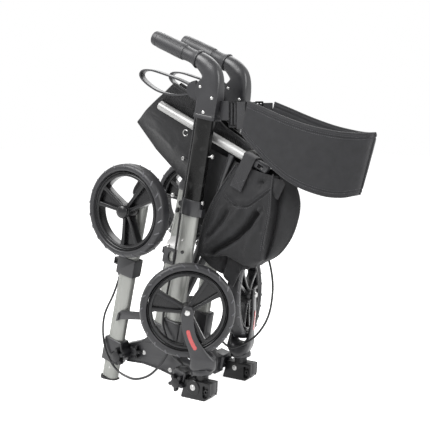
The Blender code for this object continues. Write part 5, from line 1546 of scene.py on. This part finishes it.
def set_heads(name, kind, rows, side, body):
    """Heads of one kind on a body. A row is x, z, distance out and radius in millimetres, and facing."""
    guide = bmesh.new()
    facing_layer = guide.verts.layers.float_vector.new("facing")
    size_layer = guide.verts.layers.float.new("size")
    for *numbers, way in rows:
        x, z, out, radius = mm(numbers)[0]
        vert = guide.verts.new(place(x, z, side, out))
        vert[facing_layer] = (way[0], way[1] * SIDES[side], way[2])
        vert[size_layer] = radius
    values = {"Head": HEADS[kind], "Material": STEEL}
    grown(f"{side}_{name}", guide, FASTENER_TREE, values, body, 40)


print(len(HEADS), "kinds of head")

# %% Fasteners
OUT, IN, AHEAD = (0, -1, 0), (0, 1, 0), (1, 0, 0)
FASTENERS = {
    # (body, kind): rows of x, z, distance out and radius, in millimetres, and facing
    ("handle", "rivet"): (
        (9, 650.5, 69, 3.6, OUT), (37, 626.5, 69, 3.6, OUT), (16.5, 598.5, 69.4, 3.8, OUT),
        (9, 650.5, 37, 3.6, IN), (37, 626.5, 37, 3.6, IN),
    ),
    ("handle", "screw"): ((29.6, 507.3, 53, 4.2, AHEAD), (7, 410.4, 56, 3.8, AHEAD)),
    ("frame", "rivet"): ((-41.7, 330.3, 64, 3, OUT), (-92, 118, 68.6, 3, OUT)),
    ("frame", "screw"): (
        (-72.2, 42, 68.6, 4, OUT), (-144, 70, 68.6, 4, OUT), (-33, 33, 68.6, 3.4, OUT),
        (-72.2, 42, 38, 4, IN), (-144, 70, 38, 4, IN),
    ),
    ("caster_mount", "screw"): ((9, 26.2, 98.8, 5, OUT), (9, 26.2, 66, 4.4, IN)),
    ("leg", "screw"): ((-166.6, 409.5, 72.3, 4, IN),),
    ("leg", "rivet"): (
        (-179.2, 289, 70.2, 4.6, IN), (-134, 410, 95.3, 3.6, OUT), (-221, 30, 95.5, 2.6, OUT),
    ),
}
# from, to, height, distance out
SHANKS = mm((14, 30, 507.3, 53), (-1, 7.4, 410.4, 56))
for side in SIDES:
    for (body, kind), rows in FASTENERS.items():
        set_heads(f"{body}_{kind}s", kind, rows, side, f"{side}_{body}")
    shanks = [tube([Vector((a, -y, z)), Vector((b, -y, z))], 0.0019, 12) for a, b, z, y in SHANKS]
    side_piece(side, "handle", "screw_shanks", merged(*shanks), STEEL, 50)
print(2 * sum(map(len, FASTENERS.values())), "fasteners")

# %% [markdown]
# The solids that stay get rounded edges, each by the radius that its mould or press would leave.

# %% Soft edges on solids
KEPT_SOLIDS = {
    "lower_arm": 0.0012, "leg_socket": 0.0012, "post_collar": 0.0008, "rail_end": 0.0006,
    "brake_lever": 0.0011, "lock_button": 0.0004, "cross_brace": 0.0, "front_axle": 0.0004,
}
for side in SIDES:
    for kind, width in KEPT_SOLIDS.items():
        soften(f"{side}_{kind}", width)
soften("brace_pin", 0.0003)
print(2 * len(KEPT_SOLIDS) + 1, "solids softened")

# %% [markdown]
# Soft materials. Cloth gets a plain weave from object coordinates turned into the side plane, so it needs no
# UVs. The seat has a smoother coated face, webbing shows its ribs, and thread is a little lighter.


# %% Soft materials
def cloth(name, value, roughness, threads, bump=0.35, sheen=0.25, wrinkle=0.0, turn=0.0):
    """Woven cloth with lighter slubs, a little dust and small wrinkles."""
    material, tree, shader, vector = new_material(name, (pi / 2, 0, radians(turn)))
    woven = use(tree, "weave", vector, Threads=threads)
    settled = use(tree, "dust", vector, Amount=0.1)["Mask"]
    slubs = spread(tree, woven["Shade"], 0.3, 0.7, 0.78, 1.28)
    base = blend_colour(tree, 1.0, grey(value, (1, 1, 1.16)), slubs, "MULTIPLY")
    base = blend_colour(tree, times(tree, woven["Height"], 0.45), base, grey(value * 2.1))
    fine = relief(tree, woven["Height"], bump, 0.0005)
    connect(tree, shader, {
        "Base Color": blend_colour(tree, settled, base, grey(0.14, (1.0, 0.98, 0.95))),
        "Normal": relief(tree, cloud(tree, vector, 34.0, 5, 0.8), wrinkle, 0.004, Normal=fine),
        "Roughness": roughness, "Specular IOR Level": 0.3, "Sheen Weight": sheen, "Sheen Roughness": 0.5,
    })
    return material


BAG_CLOTH = cloth("bag_cloth", 0.0098, 0.66, 1300.0, sheen=0.06, wrinkle=0.3, turn=27)
BAND_CLOTH = cloth("band_cloth", 0.0155, 0.74, 1100.0, sheen=0.06)
SEAT_CLOTH = cloth("seat_cloth", 0.0092, 0.4, 1000.0, 0.15, 0.1, wrinkle=0.45, turn=26)
LINING = cloth("lining", 0.0085, 0.55, 1500.0, 0.12, 0.1, wrinkle=0.15)
WEBBING = cloth("webbing", 0.016, 0.7, 700.0, bump=0.8, turn=-26)
BINDING = cloth("binding", 0.015, 0.75, 1600.0, bump=0.5, turn=45)
THREAD = plastic("thread", 0.045, 0.6, bump=0.02, dust=0.0)
print("soft materials")

# %% [markdown]
# Cloth could be simulated, but then its folds would fall by chance, not where the photo shows them. Here a
# panel is a closed shell over an outline in the side plane, with its outer and inner faces given by height
# fields. Creases and ridges are Gaussian profiles along drawn lines, and broad waves come from noise.


# %% Height fields
def segment_distance(points, line):
    """Distance from each point, an array of (x, z), to a polyline."""
    nearest = np.full(points.shape[:-1], 1e9)
    for first, second in zip(line, line[1:]):
        a, b = np.array(first, float), np.array(second, float)
        along = np.clip(((points - a) @ (b - a)) / max(float((b - a) @ (b - a)), 1e-12), 0, 1)
        nearest = np.minimum(nearest, np.linalg.norm(points - (a + along[..., None] * (b - a)), axis=-1))
    return nearest


def ramp(values, low, high):
    t = np.clip((values - low) / (high - low), 0, 1)
    return t * t * (3 - 2 * t)


def crease(points, line, width, height):
    """A ridge or valley along a line, fading out towards both ends."""
    ends = [np.linalg.norm(points - np.array(end, float), axis=-1) for end in (line[0], line[-1])]
    fade = ramp(np.minimum(*ends), 0.0, 2.2 * width)
    return height * fade * np.exp(-((segment_distance(points, line) / width) ** 2))


def waves(points, size, seed, stretch=(1.0, 1.0)):
    """Smooth noise from -1 to 1 over points of the side plane."""
    flat = points.reshape(-1, 2)
    values = [noise.noise(Vector((x * stretch[0] / size, z * stretch[1] / size, seed))) for x, z in flat]
    return np.array(values).reshape(points.shape[:-1])


def flat_way(way):
    return np.array([way.x, way.z])


def with_depth(grid, out):
    """Points in space from (x, z) points and their distance out from the middle plane."""
    return np.stack([grid[..., 0], -out, grid[..., 1]], axis=-1)


# %% Panels and stitches
def two_faces(outer, inner):
    """A closed shell from two matching grids of points, outer and inner."""
    columns, rows = outer.shape[:2]
    bm = bmesh.new()
    front, back = ([[bm.verts.new(point) for point in row] for row in face] for face in (outer, inner))
    for i in range(columns - 1):
        for j in range(rows - 1):
            bm.faces.new((front[i][j], front[i + 1][j], front[i + 1][j + 1], front[i][j + 1]))
            bm.faces.new((back[i][j + 1], back[i + 1][j + 1], back[i + 1][j], back[i][j]))
    rim = [(i, 0) for i in range(columns)] + [(columns - 1, j) for j in range(1, rows)]
    rim += [(i, rows - 1) for i in range(columns - 2, -1, -1)] + [(0, j) for j in range(rows - 2, 0, -1)]
    for (a, b), (c, d) in zip(rim, rim[1:] + rim[:1]):
        bm.faces.new((front[a][b], back[a][b], back[c][d], front[c][d]))
    return bm


def side_grid(outline, columns, rows):
    """Points (x, z) over an outline: columns along the rail, each from its low to its high edge."""
    u_axis, v_axis = flat_way(RAIL_WAY), flat_way(SEAT_UP)
    corners = np.array(outline, float)
    us, vs = corners @ u_axis, corners @ v_axis
    inset = (us.max() - us.min()) * 0.004
    grid = np.zeros((columns, rows, 2))
    shares = np.linspace(0, 1, rows)
    for i, u in enumerate(np.linspace(us.min() + inset, us.max() - inset, columns)):
        crossings = []
        for a, b, low, high in zip(us, np.roll(us, -1), vs, np.roll(vs, -1)):
            if (a - u) * (b - u) <= 0 and a != b:
                crossings.append(low + (high - low) * (u - a) / (b - a))
        low, high = min(crossings), max(crossings)
        grid[i] = u * u_axis + (low + (high - low) * shares)[:, None] * v_axis
    return grid


def stitch_tree():
    """Short stitches along guide lines, one every Spacing."""
    tree, entry, leave = new_tree("stitches", Stitch="Object", Spacing="Float")
    line = step(tree, "MeshToCurve", {"Mesh": entry["Geometry"]})[0]
    spots = step(tree, "CurveToPoints", {"Curve": line, "Length": entry["Spacing"]}, mode="LENGTH")
    stitch = step(tree, "ObjectInfo", {"Object": entry["Stitch"]})["Geometry"]
    turn = turned_to(tree, spots["Tangent"], "X")
    inputs = {"Points": spots["Points"], "Instance": stitch, "Rotation": turn}
    return close_tree(tree, leave, step(tree, "InstanceOnPoints", inputs)[0], entry)


STITCH_TREE = stitch_tree()
STITCH_ENDS = mm((-1.4, 0.12), (-1.1, 0.3), (1.1, 0.3), (1.4, 0.12))
STITCH = pattern("stitch", skin([oval(X_WAY * x, Y_WAY, Z_WAY, r, r, 2, 6) for x, r in STITCH_ENDS]))


def stitches(name, lines, side, body=None, spacing=0.004):
    """Stitches along lines drawn on the right-hand side."""
    guide = bmesh.new()
    for line in lines:
        verts = [guide.verts.new(in_place(Vector(point), side)) for point in line]
        for first, second in zip(verts, verts[1:]):
            guide.edges.new((first, second))
    values = {"Stitch": STITCH, "Spacing": spacing, "Material": THREAD}
    return grown(name, guide, STITCH_TREE, values, body, 60)


def blend_across(piece):
    """Bake the piece's place into its mesh, and give the piece back."""
    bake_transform(piece)
    return piece


print("cloth tools")

# %% [markdown]
# The seat is one doubled cloth that hangs folded between the rails. The strip along the rail is shirred into
# fine ribs, the rest is smooth and a little wrinkled, and its edge is hemmed. It is one closed shell round
# both layers.

# %% Seat shape
SEAT_OUTLINE = mm(
    (-212, 580), (-156, 517), (-87, 456), (-30, 408), (-6, 412), (25, 472), (39, 517), (100, 523),
    (86, 538), (40, 565), (8, 593), (-35, 630), (-96, 664), (-136, 635),
)
SEAT_FOLD = SEAT_OUTLINE[:7]
SEAT_FREE = SEAT_OUTLINE[6:] + SEAT_OUTLINE[:1]
RAIL_START = np.array([-0.0326, 0.57])


def seat_raised(points):
    """0 at the fold below, 1 where the two layers stand fully apart."""
    return ramp(segment_distance(points, SEAT_FOLD), 0.0, 0.055)


def seat_out(points):
    """Distance out of the seat's outer face."""
    raised = seat_raised(points)
    rim = segment_distance(points, SEAT_FREE)
    along = (points - RAIL_START) @ flat_way(RAIL_WAY)
    above = (points - RAIL_START) @ flat_way(SEAT_UP)
    ribbed = ramp(above, -0.004, 0.006) * ramp(rim, 0.006, 0.012)
    out = 0.0148 * raised
    out += ribbed * 0.0009 * np.sin(2 * pi * (along + 0.0012 * waves(points, 0.012, 4.0)) / 0.0046)
    loose = raised * (1 - ribbed)
    out += loose * (0.0016 * waves(points, 0.03, 1.3, (1.0, 0.55)) - 0.001)
    out += loose * crease(points, [(-0.19, 0.58), (-0.135, 0.548), (-0.1, 0.52)], 0.005, 0.0014)
    out += loose * crease(points, [(-0.165, 0.6), (-0.12, 0.575)], 0.004, -0.0012)
    out += raised * (0.0005 * ramp(rim, 0.0075, 0.006) - crease(points, SEAT_FREE, 0.0012, 0.0012))
    return out


def seat_shell():
    """Both layers as one closed shell that turns round the fold."""
    grid = side_grid(SEAT_OUTLINE, 300, 76)
    outer = seat_out(grid)
    inner = np.clip(outer - 0.0008 - 0.0026 * seat_raised(grid), 0, None)
    shift = -flat_way(SEAT_UP) * 0.0008
    low = 1 - ramp(np.linspace(0, 1, grid.shape[1]), 0.0, 0.05)
    faces = []
    sunk = shift * low[None, :, None]
    for points, out in ((grid + sunk, outer), (grid - sunk, inner)):
        near, far = with_depth(points, out), with_depth(points, -out)
        faces.append(np.concatenate([near[:, ::-1], far[:, 1:]], axis=1))
    return two_faces(*faces)


# %% Seat with its hem, snap and hook
def make_seat():
    sling = new_piece("seat_sling", seat_shell(), SEAT_CLOTH, smooth=70)
    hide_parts("right_seat_half", "left_seat_half")
    hem = []
    for first, second in zip(SEAT_FREE[1:], SEAT_FREE[2:]):
        a, b = np.array(first), np.array(second)
        inward = np.array([(b - a)[1], -(b - a)[0]]) / np.linalg.norm(b - a) * -0.0068
        line = np.array([a + (b - a) * t + inward for t in np.linspace(0.04, 0.96, 24)])
        hem.append([tuple(point) for point in with_depth(line, seat_out(line) + 0.0001)])
    for piece in (sling, *(stitches(f"{side}_seat_stitches", hem, side) for side in SIDES)):
        blend_across(piece)


make_seat()
for side, body in BRACES.items():
    set_heads("seat_snaps", "bolt", [(-72, 500.5, 15.6, 4.4, OUT)], side, body)
    turns = np.linspace(0.6, 5.9, 22)
    ring = [Vector((-0.049 + 0.0062 * cos(t), -0.0392, 0.556 + 0.0062 * sin(t))) for t in turns]
    new_piece(f"{side}_rail_hook", tube(ring, 0.001, 10), STEEL, body, side, 60)
print("seat")

# %% [markdown]
# The backrest band, in two halves that nearly meet in the middle. Each is a padded strip with rolled, bound
# edges and two rows of stitches. Its section is drawn once and swept along the band, with its height, lean
# and padding changing on the way, so stitches and bindings can be placed on the same surface.

# %% Backrest band
BAND_STATIONS = mm(
    # forward of the handle tube's top, out, upper, lower
    (93.5, 54.5, 31.5, -30), (127, 56, 18, -61), (177, 56, -2, -103), (227, 53, -18, -132),
    (277, 44, -28, -148), (309, 31, -31, -151), (327, 16.5, -30.5, -148), (333, 2.8, -30, -146),
)
BAND_LEAN = tan(radians(14.0))
BAND_ROWS = smooth_points(BAND_STATIONS, 20)
BAND_WAYS = ways_along([Vector((row[0], -row[1], 0)) for row in BAND_ROWS])
BAND_LAST = len(BAND_ROWS) - 1


def band_point(index, share, out):
    """A point on the band at a share of its height, out from the middle of its cloth."""
    forward, far, high, low = BAND_ROWS[index]
    normal = Vector((BAND_WAYS[index].y, -BAND_WAYS[index].x, 0))
    lean = BAND_LEAN * (high - low) * (share - 0.5)
    spot = Vector((POST_POINT.x + forward + lean, -far, POST_POINT.z + low + (high - low) * share))
    return spot + normal * out


def band_half(index, share):
    """Half the band's thickness at a share of its height."""
    edge = min(share, 1 - share) * (BAND_ROWS[index][2] - BAND_ROWS[index][3])
    end = min(index, BAND_LAST - index) * 0.0016 + 0.002
    puff = 0.0034 * (1 - 0.55 * exp(-((edge / 0.008) ** 2)))
    roll = 0.001 * exp(-(((edge - 0.0035) / 0.0035) ** 2))
    seam = 0.0011 * exp(-(((edge - 0.0085) / 0.0011) ** 2))
    return max(0.0008, (puff + roll - seam) * min(1.0, edge / 0.003 + 0.25) * min(1.0, end / 0.006 + 0.3))


def band_face(index, share, way, above=0.0):
    """A point of the outer face, way 1, or the inner one, way -1, both with the cloth's small waves."""
    swing = noise.noise(Vector((index * 0.045, share * 2.2, 7.0)))
    wave = 0.0016 * swing * min(1.0, (BAND_LAST - index) / 12)
    return band_point(index, share, way * band_half(index, share) + above + wave)


def make_band(side):
    rings = []
    shares = [part / 56 for part in range(57)]
    for index in range(BAND_LAST + 1):
        near, far = ([band_face(index, share, way) for share in shares] for way in (1, -1))
        rings.append(near + far[::-1])
    half_band = side_piece(side, "backrest", "band", skin(rings), BAND_CLOTH, 60)
    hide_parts(f"{side}_backrest_half")
    seams = []
    for offset in (0.0062, 0.011):
        for upper in (False, True):
            seam = []
            for index in range(2, BAND_LAST - 1):
                share = offset / (BAND_ROWS[index][2] - BAND_ROWS[index][3])
                share = 1 - share if upper else share
                seam.append(band_face(index, share, 1, 0.0001))
            seams.append(seam)
    stitches(f"{side}_band_stitches", seams, side, f"{side}_backrest", 0.0042)
    for edge, name in enumerate(("lower", "upper")):
        path = [band_point(index, edge, 0.0) for index in range(BAND_LAST)]
        side_piece(side, "backrest", f"band_{name}_binding", tube(path, 0.0021, 10), BINDING, 60)


# %% Band strap, end plate and buckle
BUCKLE = (
    # forward of the handle tube's top, height above it, size out, along and up
    *((forward + 0.0015, 0.007, (0.0052, 0.003, 0.052)) for forward in (0.0555, 0.0635, 0.0715)),
    *((0.065, height, (0.0052, 0.019, 0.004)) for height in (0.0325, -0.0185)),
)
THREADED = tuple((forward + 0.0015, 0.007, (0.0018, 0.006, 0.044)) for forward in (0.06, 0.068))


def make_band_strap(side):
    """A strap, an end plate and a two-slot buckle join the band to the handle head."""

    def flat(name, material, near, far, low, high, thick, bevel):
        first, second = (Vector((POST_POINT.x + forward, -out, 0)) for forward, out in (near, far))
        way = (second - first).normalized()
        middle = (first + second) / 2 + Vector((0, 0, POST_POINT.z + (low + high) / 2))
        block = bar(middle, (thick, (second - first).length, high - low), Z_WAY, way, bevel)
        side_piece(side, "backrest", name, block, material, 40)

    def bars(name, material, table, out, bevel):
        blocks = [
            bar(off(POST_POINT, forward, height) - Y_WAY * out, size, Z_WAY, X_WAY, bevel)
            for forward, height, size in table
        ]
        side_piece(side, "backrest", name, merged(*blocks), material, 40)

    flat("band_strap", WEBBING, (0.0745, 0.0528), (0.096, 0.0548), -0.0235, 0.031, 0.0024, 0.0006)
    flat("band_tab", SATIN, (0.0335, 0.0505), (0.056, 0.0508), -0.006, 0.033, 0.0046, 0.001)
    bars("band_buckle", GLOSS, BUCKLE, 0.052, 0.001)
    bars("buckle_webbing", WEBBING, THREADED, 0.0512, 0.0004)


for side in SIDES:
    make_band(side)
    make_band_strap(side)
print("band")

# %% [markdown]
# The bag: an open-topped shell that hangs from both rails. Its near face has the folds of the folded cloth,
# a hem along the top and piping down its rear seam. It is built as rings from its base to its rim, so the
# same points also carry the lining, the piping and the stitches. Its rear gusset is drawn in round the
# braces.

# %% Bag shape
BAG_LEVELS = mm(
    # rear x, rear z, half width at the rear, front x, front z
    (-6, 290, 10, 118, 290),
    (-19, 296, 28, 142, 297),
    (-20.5, 307, 34.5, 164, 313),
    (-13, 340, 36, 187, 345),
    (-1, 378, 36, 201, 382),
    (18, 413, 36, 205.5, 415),
    (43, 450, 35.8, 199, 444),
    (74, 492, 34, 186, 466),
)
FRONT_SEAM = mm((130, 285), (140, 320), (149, 360), (157, 400), (160, 440), (162.5, 475))
FOLDS = (
    # line, width, depth of the near face there (negative goes in)
    (mm((0, 297.5), (37, 318), (71.5, 338.1), (101, 364), (129, 402)), 0.0062, -0.019),
    (mm((-8.4, 314.5), (20, 334), (50, 360), (80, 395), (95, 414)), 0.0072, 0.0062),
    (mm((-2, 333), (18, 346), (40, 372), (58, 402)), 0.005, -0.007),
    (mm((6, 350), (28, 378), (42, 408)), 0.005, 0.0036),
    (mm((90, 295), (108, 330), (122, 370)), 0.0085, 0.0042),
    (mm((133, 425), (140, 390), (136, 350)), 0.005, -0.004),
    (mm((45, 425), (65, 408), (100, 406), (125, 420), (157, 442)), 0.0022, -0.003),
    (mm((50, 442), (72, 418), (100, 415), (124, 429), (156, 452)), 0.005, 0.0018),
    (mm((130, 450), (142, 465)), 0.005, -0.008),
)
FACE_COUNT = 130


def bag_folds(points):
    """Height of the near face's folds and waves."""
    out = sum(crease(points, line, width, height) for line, width, height in FOLDS)
    return out + 0.002 * waves(points, 0.032, 3.1) + 0.0013 * waves(points, 0.011, 5.2, (1.0, 0.45))


def hanging(x, level):
    """How far the lower edge drops or lifts at a place along the bag."""
    drop = -0.015 * exp(-(((x - 0.092) / 0.03) ** 2)) + 0.008 * exp(-(((x - 0.042) / 0.018) ** 2))
    return drop * max(0.0, 1 - level / 0.38) ** 1.5


def bag_ring(row, level):
    """One ring of the bag: near face, front, far face and rear gusset."""
    rear_x, rear_z, wide, front_x, front_z = row
    seam = np.interp(rear_z, [z for _, z in FRONT_SEAM], [x for x, _ in FRONT_SEAM])
    seam = min(max((seam - rear_x) / (front_x - rear_x), 0.6), 0.93)
    shares = np.concatenate([
        np.linspace(0, seam - 0.012, 88, endpoint=False),
        np.linspace(seam - 0.012, seam + 0.035, 14, endpoint=False),
        np.linspace(seam + 0.035, 1, FACE_COUNT - 102),
    ])
    line = np.stack([rear_x + (front_x - rear_x) * shares, rear_z + (front_z - rear_z) * shares], axis=-1)
    beyond = np.clip((shares - seam) / (1 - seam), 0, 1)
    held = np.clip(shares * 14, 0, 1)
    flat = wide + bag_folds(line) * held * np.clip((seam - shares) * 18, 0, 1)
    bulge = 0.006 + 0.015 * np.sin(pi * np.clip(beyond * 1.1, 0, 1)) ** 0.7
    bulge = bulge * np.sqrt(np.clip(1 - beyond**3, 0, 1)) * min(1.0, wide / 0.03)
    near = np.maximum(flat + (bulge - flat) * ramp(shares, seam - 0.004, seam + 0.028), 0.0015)
    far = wide + (0.6 * bag_folds(line + 0.37)) * held * np.clip((1 - shares) * 9, 0, 1)
    far = np.maximum(far * np.sqrt(np.clip(1 - ramp(shares, 0.72, 1.0) ** 2, 0, 1)), 0.0015)
    lift = [hanging(x, level) for x, _ in line]
    ring = [Vector((x, -y, z + up)) for (x, z), y, up in zip(line, near, lift)]
    ring += [Vector((x, y, z + up)) for (x, z), y, up in zip(line[::-1], far[::-1], lift[::-1])]
    brace = 0.0751 - (0.517 - rear_z) / 0.897 * 0.4415 + 0.0115
    inset = max(brace, rear_x + 0.004)
    for turn in np.linspace(1, -1, 17)[1:-1]:
        depth = ramp(wide - abs(turn * wide), 0.003, 0.011)
        ring.append(Vector((rear_x + (inset - rear_x) * depth, turn * wide, rear_z)))
    return ring


def drawn_in(ring, distance):
    """The ring moved inwards by about distance."""
    count = len(ring)
    turned = sum(a.x * b.y - b.x * a.y for a, b in zip(ring, ring[1:] + ring[:1]))
    sign = 1 if turned > 0 else -1
    moved_ring = []
    for index, point in enumerate(ring):
        way = ring[(index + 1) % count] - ring[index - 1]
        normal = Vector((-way.y, way.x, 0)) * sign
        moved_ring.append(point + normal.normalized() * distance if normal.length > 1e-9 else point.copy())
    return moved_ring


# %% Bag
levels = smooth_points(BAG_LEVELS, 16)
bag_rings = [bag_ring(row, number / (len(levels) - 1)) for number, row in enumerate(levels)]
lining_rings = [drawn_in(ring, 0.0013) for ring in bag_rings[:70:-1]]
bag = new_piece("bag_shell", skin(bag_rings + lining_rings), BAG_CLOTH, smooth=60)
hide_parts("bag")
blend_across(bag)
print("bag", len(bag.data.polygons), "faces")

# %% [markdown]
# What is sewn to the bag: webbing loops over the rail ends with a crossed box of stitches, piping down the
# rear and front seams, the double-stitched hem, the rear lining, a corner tab and the loose cloth under the
# base. Each line is drawn in the side plane and then laid on the nearest points of the bag's face.

# %% Sheets and lines on the bag
near_points = np.array([[tuple(point) for point in ring[:FACE_COUNT]] for ring in bag_rings])


def on_bag(line, above=0.0004):
    """Points of the near face under a line drawn in the side plane."""
    result = []
    for x, _, z in smooth_points([(x, 0, z) for x, z in line], 14):
        gap = (near_points[..., 0] - x) ** 2 + (near_points[..., 2] - z) ** 2
        nearest = near_points[np.unravel_index(int(gap.argmin()), gap.shape)]
        result.append(Vector((x, nearest[1] - above, z)))
    return result


def sheet_panel(name, outline, out, thick, material, body, side, columns=60, rows=40):
    """A thin cloth panel over an outline; out gives its distance from the middle plane."""
    grid = side_grid(outline, columns, rows)
    middle = out(grid)
    bm = two_faces(with_depth(grid, middle + thick / 2), with_depth(grid, middle - thick / 2))
    panel = new_piece(name, bm, material, body, side, 60)
    return panel


# %% Webbing loops
LOOP_MIDDLE = RAIL_POINT + RAIL_WAY * 0.154
LOOP = mm(
    # across the walker, above the rail
    (-39.5, -66), (-39.2, -40), (-37.6, -10), (-37.2, 6), (-34.5, 9.8), (-20, 9.8), (-16.8, 6),
    (-16.6, -24),
)


def on_loop(along, up, across):
    return LOOP_MIDDLE + RAIL_WAY * along + SEAT_UP * up + Vector((0, across, 0))


def make_webbing(side):
    """A loop of webbing over the rail end, sewn down the bag's face."""
    path = smooth_points([(across, up, 0) for across, up in LOOP], 6)
    normals = [Vector((-way.y, way.x, 0)) for way in ways_along(path)]
    bm = bmesh.new()
    rows = []
    for edge, thick in ((-0.014, 0.0), (-0.014, 0.0018), (0.014, 0.0018), (0.014, 0.0)):
        spots = [point + normal * thick for point, normal in zip(path, normals)]
        rows.append([bm.verts.new(on_loop(edge, spot.y, spot.x)) for spot in spots])
    for first, second in zip(rows, rows[1:] + rows[:1]):
        join_rows(bm, first, second)
    for end in (0, -1):
        bm.faces.new([row[end] for row in rows])
    new_piece(f"{side}_bag_webbing", bm, WEBBING, BRACES[side], side, 40)
    a, b, c, d = (-0.0115, -0.063), (0.0115, -0.063), (0.0115, -0.041), (-0.0115, -0.041)
    lines = [
        [on_loop(p[0] + (q[0] - p[0]) * t / 8, p[1] + (q[1] - p[1]) * t / 8, -0.0416) for t in range(9)]
        for p, q in ((a, b), (b, c), (c, d), (d, a), (a, c), (b, d))
    ]
    stitches(f"{side}_webbing_stitches", lines, side, BRACES[side], 0.0034)


# %% Lining, tab and base cloth
LINING_OUTLINE = mm(
    (0, 524), (-13.1, 450), (-29, 364), (-2, 350), (3, 320), (8, 324), (32, 380), (56, 440), (88, 489),
)
TAB_OUTLINE = mm((147, 470), (184, 464), (188, 456), (170.4, 423.5), (158.9, 433))
BASE_OUTLINE = mm(
    (-29, 292), (-6.3, 271.8), (28.2, 255.7), (56, 231), (74.8, 270), (95, 274), (100, 296), (42.3, 310),
    (-20, 304),
)


def lining_out(points):
    return 0.0222 + 0.0007 * waves(points, 0.05, 8.0)


def tab_out(points):
    out = 0.03 + 0.003 * ramp(points[..., 1], 0.425, 0.465)
    return out + crease(points, [(0.16, 0.43), (0.172, 0.462)], 0.006, 0.003)


def base_out(points):
    out = 0.015 + 0.003 * waves(points, 0.022, 6.0)
    out += crease(points, [(0.04, 0.306), (0.027, 0.25)], 0.0045, -0.008)
    return out + crease(points, [(0.07, 0.3), (0.066, 0.25)], 0.006, -0.005)


for side, body in BRACES.items():
    make_webbing(side)
    sheet_panel(f"{side}_bag_lining", LINING_OUTLINE, lining_out, 0.0012, LINING, body, side)
    sheet_panel(f"{side}_bag_tab", TAB_OUTLINE, tab_out, 0.0016, BAG_CLOTH, body, side, 40, 30)

# %% Piping, hem and seams
HEM_LINE = mm((48, 433), (69, 413), (100, 410.5), (124.5, 424.5), (156, 447))
SEAM_DOWN = FRONT_SEAM[::-1]
for name, index, out in (("near", 0, -0.0004), ("far", 2 * FACE_COUNT - 1, 0.0004)):
    path = [ring[index] + Vector((0, out, 0)) for ring in bag_rings[10:]]
    blend_across(new_piece(f"bag_{name}_piping", tube(path, 0.0017, 10), BINDING, smooth=60))
front = on_bag([(x - 0.0012, z) for x, z in SEAM_DOWN[:-1]], 0.0002)
blend_across(new_piece("bag_front_piping", tube(front, 0.0014, 10), BINDING, smooth=60))
seams = [
    on_bag(HEM_LINE), on_bag([(x, z - 0.0068) for x, z in HEM_LINE]),
    *([ring[index] + Vector((0.0002, -0.0005, 0)) for ring in bag_rings[14:]] for index in (3, 8)),
    on_bag([(x - 0.006, z) for x, z in SEAM_DOWN[1:-1]]),
]
blend_across(stitches("bag_stitches", seams, "right"))
base_cloth = sheet_panel("bag_base_cloth", BASE_OUTLINE, base_out, 0.0018, BAG_CLOTH, None, "right")
blend_across(base_cloth)
print("bag fittings")
